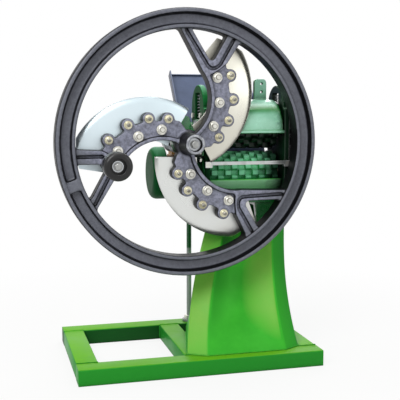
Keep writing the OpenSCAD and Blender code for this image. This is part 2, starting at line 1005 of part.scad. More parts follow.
module chute_rivets() {
    color(steel)
        at_shaft()
            on_chute()
                for (p = rivet_at)
                    translate([p.x, p.y, 0]) {
                        translate([0, 0, -bracket_t - 2])
                            cylinder(r = rivet_r + 2, h = 2);
                        translate([0, 0, -bracket_t])
                            cylinder(r = rivet_r, h = bracket_t + chute_t);
                        translate([0, 0, chute_t])
                            cylinder(r1 = rivet_r + 2.5, r2 = rivet_r + 0.5, h = 2.5);
                    }
}

// Stay rod from the rear rail up to the chute
stay_y = base_d - wheel_back - rail_w / 2;
stay_foot_r = 18;
stay_foot_h = 6;
stay_tab = [28, 48, 8];
stay_tab_y0 = -16;
stay_top = chute_z0 + (stay_y - chute_y0) * tan(chute_slope);

module stay_rod() {
    color(steel)
        at_shaft()
            difference() {
                union() {
                    translate([stay_x, stay_y, rail_z]) {
                        cylinder(r = stay_foot_r, h = stay_foot_h);
                        cylinder(r = stay_r, h = stay_top - rail_z);
                    }
                    translate([stay_x, stay_y, stay_top])
                        rotate([chute_slope, 0, 0])
                            translate([-stay_tab.x / 2, stay_tab_y0, -stay_tab.z])
                                cube(stay_tab);
                }
                on_chute()
                    block([chute_x0 - 50, -100, 0], [chute_x1 + 50, chute_l + 100, 100]);
            }
}

module stay_nuts() {
    color(steel)
        at_shaft()
            difference() {
                translate([stay_x, stay_y, rail_z + stay_foot_h])
                    cylinder(r = stay_r * 2, h = 10, $fn = 6);
                translate([stay_x, stay_y, rail_z])
                    cylinder(r = stay_r + fit, h = 30);
            }
}

// Flywheel casting
hub_root_r = 32;
hub_sink = 12;
key_w = 8;
key_y0 = -44;
key_y1 = 16;
hub_bolt_r = 6;

function rim_profile() =
    let (w = rim_w / 2, v = w - 3, b = rim_web / 2, ri = rim_in, ro = rim_r)
    [
        [ri, -v], [ri + inner_lip, -v], [ri + inner_lip + 3, -b], [ro - outer_lip - 4, -b],
        [ro - outer_lip, -w], [ro - 3, -w], [ro, -w + 4], [ro, w - 4], [ro - 3, w],
        [ro - outer_lip, w], [ro - outer_lip - 4, b], [ri + inner_lip + 3, b],
        [ri + inner_lip, v], [ri, v]
    ];

// Cast pad between the rim lips, left of the crank
pad_a = 199;
pad_w = 26;
pad_y0 = 4 - rim_w / 2;

module rim_pad() {
    slab(pad_y0, 0)
        polygon(bar(polar(rim_in + inner_lip / 2, pad_a), polar(rim_r - outer_lip / 2, pad_a), pad_w));
}

window_outline = rounded([
    polar(rim_in + inner_lip + 1, window_a0), polar(rim_in + inner_lip + 1, window_a1), window_foot
], 8);
fork_left = [32, 163];
fork_foot = [[61, 161.5], [42, 152]];
fork_fillet = 12;
fork_spread = 8;
fork_r = rim_in + 1.5;
spoke_a0 = spoke_left_a + fork_spread;
spoke_a1 = spoke_right_a - fork_spread;
spoke_outline = concat(
    [fork_left],
    corner(fork_left, polar(fork_r, spoke_left_a), polar(fork_r, spoke_a0), fork_fillet, 4),
    [for (i = [0:6]) polar(rim_in + inner_lip / 2, spoke_a0 + (spoke_a1 - spoke_a0) * i / 6)],
    corner(polar(fork_r, spoke_a1), polar(fork_r, spoke_right_a), knot_at, fork_fillet, 4),
    [knot_at],
    fork_foot
);
groove_w = 7;
groove_y1 = plate_y0 - 1;
groove_path = [
    polar(rim_in - 1, 92), [44, 175.6], [50, 171], [58, 170], [66, 173.5], [72, 178], polar(rim_in - 1, 66)
];

// Forked outer end of an arm, with the triangular window between its spokes
module arm_fork() {
    difference() {
        slab(rib_y0, knife_y0)
            polygon(spoke_outline);
        slab(rib_y0 - 1, knife_y0 + 1)
            polygon(window_outline);
        slab(rib_y0 - 1, groove_y1)
            polygon(strip(groove_path, groove_w));
        rod_y(hollow_at, arm_hollow_r, rib_y0 - 1, knife_y0 + 1);
    }
}

module arm_plate() {
    difference() {
        slab(plate_y0, knife_y0)
            polygon(plate_edge);
        rod_y(hollow_at, arm_hollow_r, plate_y0 - 1, knife_y0 + 1);
    }
    for (p = adjust_at)
        rod_y(p, scallop_r, plate_y0, knife_y0);
}

// Rib along the hollow edge of an arm
module arm_rib() {
    reach = arm_hollow_r + 60;
    intersection() {
        difference() {
            rod_y(hollow_at, arm_hollow_r + rib_t, rib_y0, knife_y0);
            rod_y(hollow_at, arm_hollow_r, rib_y0 - 1, knife_y0 + 1);
        }
        slab(rib_y0 - 1, knife_y0 + 1)
            polygon([
                hollow_at,
                hollow_at + polar(reach, rib_a0),
                hollow_at + polar(reach, (rib_a0 + rib_a1) / 2),
                hollow_at + polar(reach, rib_a1)
            ]);
    }
}

module flywheel() {
    color(iron_grey)
        at_shaft()
            difference() {
                union() {
                    turned_y()
                        polygon(rim_profile());
                    rim_pad();
                    for (k = [0:arm_count - 1])
                        on_arm(k) {
                            arm_plate();
                            arm_rib();
                            arm_fork();
                        }
                    turned_y()
                        polygon([
                            [0, -hub_front], [hub_r - 2, -hub_front], [hub_r, 2 - hub_front],
                            [hub_r + 2, rib_y0], [hub_root_r, plate_y0 + 4], [hub_root_r, knife_y0 - 3],
                            [hub_root_r - 4, hub_y1], [0, hub_y1]
                        ]);
                    rod_y(crank_at, crank_boss_r, crank_boss_y0, crank_boss_y1);
                }
                rod_y([0, 0], hub_seat_r + fit, -hub_front - 1, hub_y1 + 1);
                rod_y([0, 0], hub_sink_r, -hub_front - 1, hub_sink - hub_front);
                block(
                    [-key_w / 2 - fit, key_y0, hub_seat_r - 4],
                    [key_w / 2 + fit, hub_y1 + 1, hub_seat_r + 4 + fit]
                );
                for (k = [0:arm_count - 1])
                    on_arm(k) {
                        for (p = clamp_at)
                            rod_y(p, clamp_r + fit, rib_y0 - 1, knife_y0 + 1);
                        for (p = adjust_at)
                            rod_y(p, adjust_r + fit, rib_y0 - 1, knife_y0 + 1);
                    }
                rod_y(crank_at, spindle_stub_r + fit, crank_boss_y0 - 1, knife_y0 + 1);
            }
}

// Knives: a ring about the cutting edge's centre, cut to its sector
module knife(k) {
    reach = knife_r + 60;
    color(steel)
        at_shaft()
            on_arm(k)
                difference() {
                    intersection() {
                        turned_y(knife_at)
                            polygon([
                                [knife_r - knife_w, knife_y0], [knife_r - bevel_w, knife_y0],
                                [knife_r, knife_y1 - 0.6], [knife_r, knife_y1], [knife_r - knife_w, knife_y1]
                            ]);
                        slab(knife_y0 - 1, knife_y1 + 1)
                            polygon([
                                knife_at,
                                knife_at + polar(reach, knife_a0),
                                knife_at + polar(reach, (knife_a0 + knife_a1) / 2),
                                knife_at + polar(reach, knife_a1)
                            ]);
                        rod_y([0, 0], knife_reach, knife_y0 - 1, knife_y1 + 1);
                    }
                    for (p = clamp_at)
                        clamp_bolt(p, fit);
                }
}

module knife_1() {
    knife(0);
}

module knife_2() {
    knife(1);
}

module knife_3() {
    knife(2);
}

// Countersunk bolt from behind the knife; grow gives the hole
module clamp_bolt(p, grow) {
    rod_y(p, clamp_r + grow, plate_y0 - 13, knife_y1 - 1);
    translate([p.x, knife_y1 - 4, p.y])
        rotate([-90, 0, 0])
            cylinder(r1 = clamp_r + grow, r2 = clamp_r + 4 + grow, h = 4);
}

module clamp_bolts() {
    color(steel)
        at_shaft()
            for (k = [0:arm_count - 1], p = clamp_at)
                on_arm(k)
                    clamp_bolt(p, 0);
}

washer_t = 2;
nut_h = 8;

module clamp_nuts() {
    color(steel)
        at_shaft()
            for (k = [0:arm_count - 1], p = clamp_at)
                on_arm(k)
                    difference() {
                        union() {
                            rod_y(p, clamp_r * 2, plate_y0 - washer_t, plate_y0);
                            hex_y(p, clamp_r * 1.7, plate_y0 - washer_t - nut_h, plate_y0 - washer_t);
                        }
                        rod_y(p, clamp_r + fit, plate_y0 - 20, plate_y0 + 1);
                    }
}

module adjusting_screws() {
    color(zinc_yellow)
        at_shaft()
            for (k = [0:arm_count - 1], p = adjust_at)
                on_arm(k) {
                    rod_y(p, adjust_r, plate_y0 - 14, knife_y0);
                    rod_y(p, adjust_r * 2.4, plate_y0 - washer_t, plate_y0);
                    hex_y(p, adjust_r * 2, plate_y0 - washer_t - 6, plate_y0 - washer_t);
                    hex_y(p, adjust_r * 1.6, plate_y0 - 17, plate_y0 - 12);
                }
}

// Main shaft and what is keyed to it
shaft_y0 = hub_sink - hub_front;
shaft_y1 = cheek_y1 + 3;

module main_shaft() {
    color(steel)
        at_shaft()
            difference() {
                union() {
                    rod_y([0, 0], hub_seat_r, shaft_y0, hub_y1);
                    rod_y([0, 0], shaft_r, hub_y1, shaft_y1);
                }
                block(
                    [-key_w / 2, key_y0, hub_seat_r - 4],
                    [key_w / 2, key_y1, hub_seat_r + 5]
                );
                rod_y([0, 0], hub_bolt_r + fit, shaft_y0 - 1, shaft_y0 + 30);
            }
}

module shaft_collar() {
    color(steel)
        at_shaft()
            difference() {
                rod_y([0, 0], 28, hub_y1, front_bearing_y - slip);
                rod_y([0, 0], shaft_r + fit, hub_y1 - 1, front_bearing_y);
            }
}

module hub_key() {
    color(steel)
        at_shaft()
            block([-key_w / 2, key_y0, hub_seat_r - 4], [key_w / 2, key_y1, hub_seat_r + 4]);
}

module hub_bolt() {
    color(steel)
        at_shaft() {
            rod_y([0, 0], hub_bolt_r, shaft_y0, shaft_y0 + 28);
            rod_y([0, 0], hub_sink_r - 1, shaft_y0 - 2.5, shaft_y0);
            hex_y([0, 0], 10, shaft_y0 - 10.5, shaft_y0 - 2.5);
        }
}

// Worm and worm wheel
worm_pitch = 2 * PI * worm_wheel_r / worm_teeth;
worm_lead = worm_starts * worm_pitch;
worm_pressure = 20;
worm_play = 0.45;
worm_root = 6.2;
worm_half = worm_pitch / 4 - worm_play;

// Cross-section of the worm: one lobe for each start
worm_section = [
    for (k = [0:worm_starts - 1]) each [
        for (s = [
            [-worm_half - worm_root * tan(worm_pressure), worm_r - worm_root],
            [-worm_half, worm_r],
            [-worm_half + wheel_tip * tan(worm_pressure), worm_r + wheel_tip],
            [0, worm_r + wheel_tip],
            [worm_half - wheel_tip * tan(worm_pressure), worm_r + wheel_tip],
            [worm_half, worm_r],
            [worm_half + worm_root * tan(worm_pressure), worm_r - worm_root]
        ])
        polar(s[1], s[0] / worm_lead * 360 + k * 360 / worm_starts)
    ]
];
worm_y0 = roller_y - worm_l / 2;
// Turn that sets a thread gap over the wheel tooth at the top
worm_phase = 360 * (worm_l / 2 - worm_pitch / 2) / worm_lead;

module worm() {
    color(steel)
        at_shaft()
            difference() {
                translate([0, worm_y0, 0])
                    rotate([-90, 0, 0])
                        rotate([0, 0, 90 - worm_phase])
                            linear_extrude(worm_l, twist = -360 * worm_l / worm_lead, slices = 60, segments = 14)
                                polygon(worm_section);
                rod_y([0, 0], shaft_r + fit, worm_y0 - 1, worm_y0 + worm_l + 1);
            }
}

// Skew of the wheel teeth, matching the worm's lead
wheel_twist = worm_face * worm_lead / (2 * PI * worm_r) / worm_wheel_r * 180 / PI;

module worm_wheel() {
    color(bronze)
        at_shaft()
            difference() {
                translate([-worm_face / 2, roller_y, lower_z])
                    rotate([90, 0, 90])
                        rotate([0, 0, 90 - wheel_twist / 2])
                            linear_extrude(worm_face, twist = -wheel_twist, slices = 3, segments = 12 * worm_teeth)
                                polygon(gear_outline(
                                    worm_teeth, worm_wheel_r, wheel_tip, worm_root, worm_pressure, 2 * worm_play
                                ));
                rod_x([roller_y, lower_z], roller_shaft_r + fit, -worm_face, worm_face);
            }
}

// Rollers and their gears
roller_x0 = mouth_x0 + hood_end + 1.5;
roller_x1 = right_x0 - hood_end - 1.5;
tooth_root = 0.62;
tooth_tip = 0.34;
ring_gap = 3.5;

// Outline of one toothed ring; the shares are of the tooth spacing
ring_outline = [
    for (i = [0:ring_teeth - 1])
    let (a = 360 / ring_teeth)
    each [
        polar(roller_core_r - 1, a * (i - tooth_root / 2)),
        polar(roller_r, a * (i - tooth_tip / 2)),
        polar(roller_r, a * (i + tooth_tip / 2)),
        polar(roller_core_r - 1, a * (i + tooth_root / 2))
    ]
];

module toothed_roller(z) {
    ring_w = (roller_x1 - roller_x0) / ring_count;
    difference() {
        union() {
            rod_x([roller_y, z], roller_core_r, roller_x0, roller_x1);
            for (i = [0:ring_count - 1])
                translate([roller_x0 + ring_w * i + ring_gap / 2, roller_y, z])
                    rotate([90, 0, 90])
                        rotate([0, 0, i % 2 * 180 / ring_teeth])
                            linear_extrude(ring_w - ring_gap)
                                polygon(ring_outline);
        }
        rod_x([roller_y, z], roller_shaft_r + fit, roller_x0 - 1, roller_x1 + 1);
    }
}

gear_r = (upper_z - lower_z) / 2;
gear_module = 2 * gear_r / gear_teeth;
gear_x0 = right_x1 + 7;
gear_pressure = 25;
gear_play = 1;

// Roller gear, with its first tooth or gap turned to the angle a
module roller_gear(z, a) {
    difference() {
        translate([gear_x0, roller_y, z])
            rotate([90, 0, 90])
                rotate([0, 0, a])
                    linear_extrude(gear_face)
                        polygon(gear_outline(
                            gear_teeth, gear_r, 0.85 * gear_module, 1.1 * gear_module, gear_pressure, gear_play
                        ));
        rod_x([roller_y, z], roller_shaft_r + fit, gear_x0 - 1, gear_x0 + gear_face + 1);
    }
}

shaft_end = gear_x0 + gear_face + 3;
lower_shaft_x0 = -worm_face / 2 - 12;
upper_shaft_x0 = left_x0 - 8;

module lower_shaft() {
    color(steel)
        at_shaft()
            rod_x([roller_y, lower_z], roller_shaft_r, lower_shaft_x0, shaft_end);
}

module lower_roller() {
    color(head_green)
        at_shaft()
            toothed_roller(lower_z);
}

module lower_gear() {
    color(iron_grey)
        at_shaft()
            roller_gear(lower_z, 90);
}

block_flange_t = 4;

// Sliding blocks that carry the upper roller in the cheek slots; s is 1 or -1 for the outer side
module upper_block(x0, s) {
    lo = x0 + s * slip;
    flange_x0 = s > 0 ? lo + cheek_t : lo - block_flange_t;
    difference() {
        union() {
            block(
                [lo, roller_y - slot_w / 2 + slip, block_z0],
                [lo + cheek_t, roller_y + slot_w / 2 - slip, block_z0 + block_h]
            );
            block(
                [flange_x0, roller_y - slot_w / 2 - 5, block_z0 + 2],
                [flange_x0 + block_flange_t, roller_y + slot_w / 2 + 5, block_z0 + block_h - 2]
            );
        }
        rod_x([roller_y, upper_z], roller_shaft_r + fit, x0 - 10, x0 + cheek_t + 10);
    }
}

module upper_block_left() {
    color(head_green)
        at_shaft()
            upper_block(left_x0, -1);
}

module upper_block_right() {
    color(head_green)
        at_shaft()
            upper_block(right_x0, 1);
}

module upper_shaft() {
    color(steel)
        at_shaft()
            rod_x([roller_y, upper_z], roller_shaft_r, upper_shaft_x0, shaft_end);
}

module upper_roller() {
    color(head_green)
        at_shaft()
            toothed_roller(upper_z);
}

module upper_gear() {
    color(iron_grey)
        at_shaft()
            roller_gear(upper_z, -90 + 180 / gear_teeth);
}

// Crank
spindle_stub_r = spindle_r - 2;
spindle_flange_t = 4;
grip_y1 = crank_boss_y0 - spindle_flange_t - slip;
grip_y0 = grip_y1 - grip_l;
grip_sink = 14;
grip_washer_y = grip_y0 + grip_sink - slip;
grip_steps = 14;

module crank_spindle() {
    color(steel)
        at_shaft()
            difference() {
                union() {
                    rod_y(crank_at, spindle_stub_r, crank_boss_y0, crank_boss_y1);
                    rod_y(crank_at, spindle_r + 6, crank_boss_y0 - spindle_flange_t, crank_boss_y0);
                    rod_y(crank_at, spindle_r, grip_washer_y, crank_boss_y0 - spindle_flange_t);
                }
                rod_y(crank_at, 5 + fit, grip_washer_y - 1, grip_washer_y + 26);
            }
}

module grip_bolt() {
    color(steel)
        at_shaft() {
            rod_y(crank_at, 5, grip_washer_y, grip_washer_y + 25);
            rod_y(crank_at, spindle_r + 2.5, grip_washer_y - 2.5, grip_washer_y);
            hex_y(crank_at, 9, grip_washer_y - 9, grip_washer_y - 2.5);
        }
}

// Radius of the grip at the share s of its length from the wheel
function grip_radius(s) = grip_r * (0.54 + 0.46 * sin(90 * min(1, s / 0.88)));

module grip() {
    edge = 5;
    color(black_grip)
        at_shaft()
            difference() {
                turned_y(crank_at)
                    polygon(concat(
                        [[0, grip_y1], [grip_radius(0) - 3, grip_y1]],
                        [
                            for (i = [0:grip_steps])
                            let (s = i / grip_steps)
                            [grip_radius(s), grip_y1 - 3 - (grip_l - 3 - edge) * s]
                        ],
                        [
                            for (a = [30, 60, 90])
                            [grip_r - edge + edge * cos(a), grip_y0 + edge - edge * sin(a)]
                        ],
                        [[0, grip_y0]]
                    ));
                rod_y(crank_at, spindle_r + fit, grip_y0 - 1, grip_y1 + 1);
                rod_y(crank_at, spindle_r + 5, grip_y0 - 1, grip_y0 + grip_sink);
            }
}

base_front_rail();
base_rear_rail();
base_left_rail();
base_middle_rail();
base_right_rail();
pedestal();
neck();
bed_plate();
left_cheek();
right_cheek();
cheek_bolts();
hood();
hood_bolts();
chin();
shear_plate();
shear_bolts();
front_bearing();
rear_bearing();
main_bushes();
oil_cups();
bearing_bolts();
gear_case();
case_bolts();
lower_bushes();
pressure_springs();
chute();
chute_bracket();
chute_rivets();
stay_rod();
stay_nuts();
flywheel();
knife_1();
knife_2();
knife_3();
clamp_bolts();
clamp_nuts();
adjusting_screws();
main_shaft();
shaft_collar();
hub_key();
hub_bolt();
worm();
crank_spindle();
grip_bolt();
grip();
lower_shaft();
lower_roller();
worm_wheel();
lower_gear();
upper_block_left();
upper_block_right();
upper_shaft();
upper_roller();
upper_gear();
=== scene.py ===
"""Looks of a hand chaff cutter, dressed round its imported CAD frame."""
import logging
import math
from dataclasses import dataclass, replace
from enum import Enum
from functools import partial
from typing import Any, Callable, Iterable, Sequence

import bmesh
import bpy
from bmesh.types import BMesh, BMVert
from bpy.types import Material, Mesh, Node, NodeSocket, NodeTree, Object, Scene
from mathutils import Matrix, Vector


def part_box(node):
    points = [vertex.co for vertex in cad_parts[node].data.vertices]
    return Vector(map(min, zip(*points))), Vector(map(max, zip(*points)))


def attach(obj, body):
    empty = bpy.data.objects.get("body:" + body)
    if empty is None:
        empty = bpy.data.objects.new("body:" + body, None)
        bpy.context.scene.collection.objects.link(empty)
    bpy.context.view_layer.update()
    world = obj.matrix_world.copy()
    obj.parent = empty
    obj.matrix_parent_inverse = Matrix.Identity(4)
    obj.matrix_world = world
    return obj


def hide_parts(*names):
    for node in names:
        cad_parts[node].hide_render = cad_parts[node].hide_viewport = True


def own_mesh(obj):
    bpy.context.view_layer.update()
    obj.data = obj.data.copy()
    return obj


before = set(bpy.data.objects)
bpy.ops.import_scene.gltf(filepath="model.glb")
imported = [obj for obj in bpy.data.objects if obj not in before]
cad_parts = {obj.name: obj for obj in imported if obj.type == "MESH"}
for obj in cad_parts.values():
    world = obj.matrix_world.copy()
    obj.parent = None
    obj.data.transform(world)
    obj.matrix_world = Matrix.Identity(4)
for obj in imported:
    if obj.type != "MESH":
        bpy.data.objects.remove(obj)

LOG = logging.getLogger("chaff_cutter")
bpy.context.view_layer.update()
MM = 0.001
# the main shaft's axis at the wheel, and the rollers' axes in millimetres from it
SHAFT = Vector((-18.0, -95.0, 525.0)) * MM
ROLLER_Y, LOWER_Z, UPPER_Z = 106.0, -75.0, 31.0
LEFT, RIGHT = Vector((-1, 0, 0)), Vector((1, 0, 0))
FRONT, UP, DOWN = Vector((0, -1, 0)), Vector((0, 0, 1)), Vector((0, 0, -1))
# inputs of a colour mix: the share, the colour below and the colour above
SHARE, BELOW, ABOVE = 0, 6, 7
WHITE = (1.0, 1.0, 1.0, 1.0)
# edges sharper than this are broken by a file; sides of a small turned form
SHARP_DEG = 30.0
TURNED_SIDES = 20
RAILS = tuple(f"base_{side}_rail" for side in ("front", "rear", "left", "middle", "right"))
Point = tuple[float, float, float]
Flat = tuple[float, float]
Place = tuple[Vector, Vector, float]
AddNode = Callable[..., Node]


class Body(Enum):
    """Moving bodies of the machine."""

    FRAME = "frame"
    ROTOR = "rotor"
    GRIP = "grip"
    LOWER = "lower_feed"
    CARRIAGE = "carriage"
    UPPER = "upper_feed"


class Slot(Enum):
    """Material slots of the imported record."""

    RAIL = "rail_paint"
    HEAD = "head_paint"
    IRON = "cast_iron"
    KNIFE = "knife_steel"
    STEEL = "bright_steel"
    ZINC = "yellow_zinc"
    PLASTIC = "black_plastic"
    SHEET = "blue_sheet"


class Lay(Enum):
    """Axis along which tool marks repeat, or across which a cast face lies."""

    ALONG_X = 0
    ALONG_Y = 1
    ALONG_Z = 2
    ABOUT_SHAFT = 3


def linear(colour: str) -> tuple[float, float, float, float]:
    """Turn an sRGB hex colour to linear light.

    Args:
        colour: Colour such as "#2f9e35".

    Returns:
        Red, green, blue and alpha in linear light.
    """
    parts = [int(colour[i:i + 2], 16) / 255 for i in (1, 3, 5)]
    red, green, blue = (c / 12.92 if c <= 0.04045 else ((c + 0.055) / 1.055) ** 2.4 for c in parts)
    return red, green, blue, 1.0


def repeats(size_mm: float) -> float:
    """Give the texture scale whose features have a real size in millimetres."""
    return 1000.0 / size_mm


def add_node(tree: NodeTree, kind: str, links: dict[Any, Any] | None = None, **settings: Any) -> Node:
    """Add one node with its settings, values and links.

    Args:
        tree: Tree that gets the node.
        kind: Node type name, without its first part for a shader node.
        links: Input name or index to a value, or to the socket or node that feeds it.
        settings: Properties of the node.

    Returns:
        The new node.
    """
    node = tree.nodes.new(kind if "Node" in kind else "ShaderNode" + kind)
    for key, value in settings.items():
        setattr(node, key, value)
    for key, value in (links or {}).items():
        if isinstance(value, Node):
            value = next(socket for socket in value.outputs if socket.enabled)
        if isinstance(value, NodeSocket):
            tree.links.new(value, node.inputs[key])
        else:
            node.inputs[key].default_value = value
    return node


def from_shaft(add: AddNode, where: NodeSocket) -> Node:
    """Give the distance from the main shaft's axis.

    Args:
        add: Adds a node to the material.
        where: Object coordinates.

    Returns:
        Node with the distance in metres.
    """
    parts = add("SeparateXYZ", {0: where})
    right = add("Math", {0: parts.outputs["X"], 1: SHAFT.x}, operation="SUBTRACT")
    up = add("Math", {0: parts.outputs["Z"], 1: SHAFT.z}, operation="SUBTRACT")
    return add("VectorMath", {0: add("CombineXYZ", {"X": right, "Y": up})}, operation="LENGTH")


@dataclass(frozen=True)
class Finish:
    """What every finish shares: its name, its start, its worn edges, and the dirt and painted shade in its
    corners.
    """

    name: str

    def start(self) -> tuple[Material, AddNode, NodeSocket]:
        """Open a new material.

        Returns:
            The material, the function that adds a node to it and the object coordinates.
        """
        material = bpy.data.materials.new(self.name)
        material.use_nodes = True
        material.node_tree.nodes.clear()
        add = partial(add_node, material.node_tree)
        return material, add, add("TexCoord").outputs["Object"]

    def worn(self, add: AddNode, where: NodeSocket, width_mm: float, patch_mm: float, low: float,
             high: float) -> Node:
        """Mask the sharp edges, broken up into patches.

        Args:
            add: Adds a node to the material.
            where: Object coordinates.
            width_mm: Width of the edge that wears.
            patch_mm: Size of the worn patches.
            low: Noise level at which wear starts.
            high: Noise level at which wear is complete.

        Returns:
            Node that gives 1 on a worn edge and 0 elsewhere.
        """
        eased_normal = add("Bevel", {"Radius": width_mm * MM}, samples=4)
        flat_normal = add("NewGeometry").outputs["Normal"]
        turn = add("VectorMath", {0: eased_normal, 1: flat_normal}, operation="DOT_PRODUCT")
        edge = add("MapRange", {"Value": turn, "From Min": 0.97, "From Max": 0.8})
        noise = add("TexNoise", {"Vector": where, "Scale": repeats(patch_mm), "Detail": 5.0, "Roughness": 0.65})
        patches = add("MapRange", {"Value": noise, "From Min": low, "From Max": high})
        return add("Math", {0: edge, 1: patches}, operation="MULTIPLY")

    def grimed_and_shaded(self, add: AddNode, colour: Node, reach_mm: float, grime_and_shade: str, share: float) -> Node:
        """Darken corners and grooves with dirt and painted shade, where little light reaches.

        Args:
            add: Adds a node to the material.
            colour: Colour of the clean surface.
            reach_mm: Width of the corner that darkens.
            grime_and_shade: Colour of the dirt and painted shade.
            share: Strength of the dirt and painted shade in the deepest corner.

        Returns:
            Node with the darkened colour.
        """
        corner = add("AmbientOcclusion", {"Distance": reach_mm * MM}, samples=6).outputs["AO"]
        depth = add("MapRange", {"Value": corner, "From Min": 0.85, "From Max": 0.25, "To Max": share})
        return add("Mix", {SHARE: depth, BELOW: colour, ABOVE: linear(grime_and_shade)}, data_type="RGBA")


@dataclass(frozen=True)
class Enamel(Finish):
    """Gloss enamel over metal, with the lumps of what is under it, and painted light and shade."""

    colour: str
    # darker colour: random clouds of it, and painted shade on faces turned away from the suns
    shade: str
    chip: str
    # colour and share of the painted highlight on faces turned to a sun
    highlight_colour: str
    highlight_share: float
    lump_mm: float
    lump_depth_mm: float
    roughness: float
    gleam: float
    coat: float = 0.0
    # directions of the light that the painted highlight and painted shade stand for
    suns: tuple[Point, ...] = ((0.0, 0.0, 1.0),)
    sun_range: Flat = (0.55, 1.0)
    # reach of the occlusion that keeps the painted highlight out of shaded places
    sky_mm: float = 90.0
    # colour, reach and strength of the dirt and painted shade in corners
    grime_and_shade: str = "#0b120d"
    grime_and_shade_mm: float = 14.0
    grime_and_shade_share: float = 0.5
    cloud_mm: float = 75.0
    # orange peel of about 1 mm, drawn at 3 mm so that it shows
    peel_mm: float = 3.0
    # height under which a dipped bar is left bare
    bare_below_mm: float | None = None
    # right of the shaft, where the painted shade towards the gears starts and where it is full
    gear_shade_mm: Flat | None = None

    def build(self) -> Material:
        """Make the enamel: clouded colour, orange peel, lumps, chipped edges, painted highlights and painted
        shade.

        Returns:
            The material.
        """
        material, add, where = self.start()
        cloud = add("TexNoise", {"Vector": where, "Scale": repeats(self.cloud_mm), "Detail": 4.0,
                                 "Roughness": 0.6})
        lumps = add("TexNoise", {"Vector": where, "Scale": repeats(self.lump_mm), "Detail": 4.0})
        peel = add("TexNoise", {"Vector": where, "Scale": repeats(self.peel_mm), "Detail": 1.0})
        chips = self.worn(add, where, width_mm=1.6, patch_mm=9.0, low=0.56, high=0.62)
        colour = add("Mix", {SHARE: chips, BELOW: self.lit_and_shaded(add, cloud), ABOVE: linear(self.chip)},
                     data_type="RGBA")
        for axis, ragged_m, start, full, most, over in self.layers():
            along = add("SeparateXYZ", {0: where}).outputs[axis]
            ragged = add("Math", {0: lumps, 1: ragged_m, 2: along}, operation="MULTIPLY_ADD")
            share = add("MapRange", {"Value": ragged, "From Min": start, "From Max": full, "To Max": most})
            colour = add("Mix", {SHARE: share, BELOW: colour, ABOVE: linear(over)}, data_type="RGBA")
        smear = add("MapRange", {"Value": cloud, "From Min": 0.3, "From Max": 0.7,
                                 "To Min": self.roughness - 0.06, "To Max": self.roughness + 0.09})
        dulled = add("Math", {0: chips, 1: 0.3, 2: smear}, operation="MULTIPLY_ADD")
        cast = add("Bump", {"Strength": 0.6, "Distance": self.lump_depth_mm * MM, "Height": lumps})
        skin = add("Bump", {"Strength": 0.25, "Distance": 0.12 * MM, "Height": peel, "Normal": cast})
        # the base colour takes dirt and painted shade in its corners
        surface = add("BsdfPrincipled", {
            "Base Color": self.grimed_and_shaded(add, colour, self.grime_and_shade_mm, self.grime_and_shade, self.grime_and_shade_share),
            "Roughness": dulled, "Normal": skin, "IOR": 1.5, "Specular IOR Level": self.gleam,
            "Coat Weight": self.coat, "Coat Roughness": 0.08})
        add("OutputMaterial", {"Surface": surface})
        return material

    def lit_and_shaded(self, add: AddNode, cloud: Node) -> Node:
        """Colour the paint: clouded, with painted shade on faces turned away from the suns and a painted
        highlight on faces turned to one, kept out of places that light does not reach.

        Args:
            add: Adds a node to the material.
            cloud: Noise of the clouds.

        Returns:
            Node with the colour.
        """
        normal = add("NewGeometry").outputs["Normal"]
        facing: Any = -1.0
        for sun in self.suns:
            turned = add("VectorMath", {0: normal, 1: Vector(sun).normalized()}, operation="DOT_PRODUCT")
            facing = add("Math", {0: turned, 1: facing}, operation="MAXIMUM")
        spread = add("MapRange", {"Value": cloud, "From Min": 0.35, "From Max": 0.68, "To Max": 0.4})
        # painted shade on faces turned away from every sun
        turned_away_mask = add("MapRange", {"Value": facing, "From Min": 0.45, "From Max": 0.1})
        deep = add("Math", {0: spread, 1: turned_away_mask}, operation="MAXIMUM")
        tone = add("Mix", {SHARE: deep, BELOW: linear(self.colour), ABOVE: linear(self.shade)},
                   data_type="RGBA")
        # painted highlight on faces turned to a sun, broken by clouds and kept out of shaded places
        sun_facing_share = add("MapRange", {"Value": facing, "From Min": self.sun_range[0], "From Max": self.sun_range[1],
                                  "To Max": self.highlight_share})
        cloudy = add("MapRange", {"Value": cloud, "From Min": 0.25, "From Max": 0.6, "To Min": 0.7})
        highlight_mask = add("Math", {0: sun_facing_share, 1: cloudy}, operation="MULTIPLY")
        sky = add("AmbientOcclusion", {"Distance": self.sky_mm * MM}, samples=6).outputs["AO"]
        light_reach_mask = add("MapRange", {"Value": sky, "From Min": 0.3, "From Max": 0.75})
        highlight_in_light = add("Math", {0: highlight_mask, 1: light_reach_mask}, operation="MULTIPLY")
        return add("Mix", {SHARE: highlight_in_light, BELOW: tone, ABOVE: linear(self.highlight_colour)}, data_type="RGBA")

    def layers(self) -> list[tuple[str, float, float, float, float, str]]:
        """List what lies over the paint: bare metal low down, or painted shade that darkens it towards the
        gears.

        Returns:
            Axis, raggedness in metres, start, full reach, greatest share and colour of each layer.
        """
        found = []
        # the noise that makes an edge ragged is about a half, so half the raggedness is added to each reach
        if self.bare_below_mm is not None:
            edge = self.bare_below_mm * MM
            found.append(("Z", 0.05, edge + 0.03, edge + 0.02, 1.0, "#a9adae"))
        # painted shade, darker towards the gears
        if self.gear_shade_mm is not None:
            thin, thick = (SHAFT.x + reach * MM + 0.01 for reach in self.gear_shade_mm)
            found.append(("X", 0.02, thin, thick, 0.93, self.grime_and_shade))
        return found


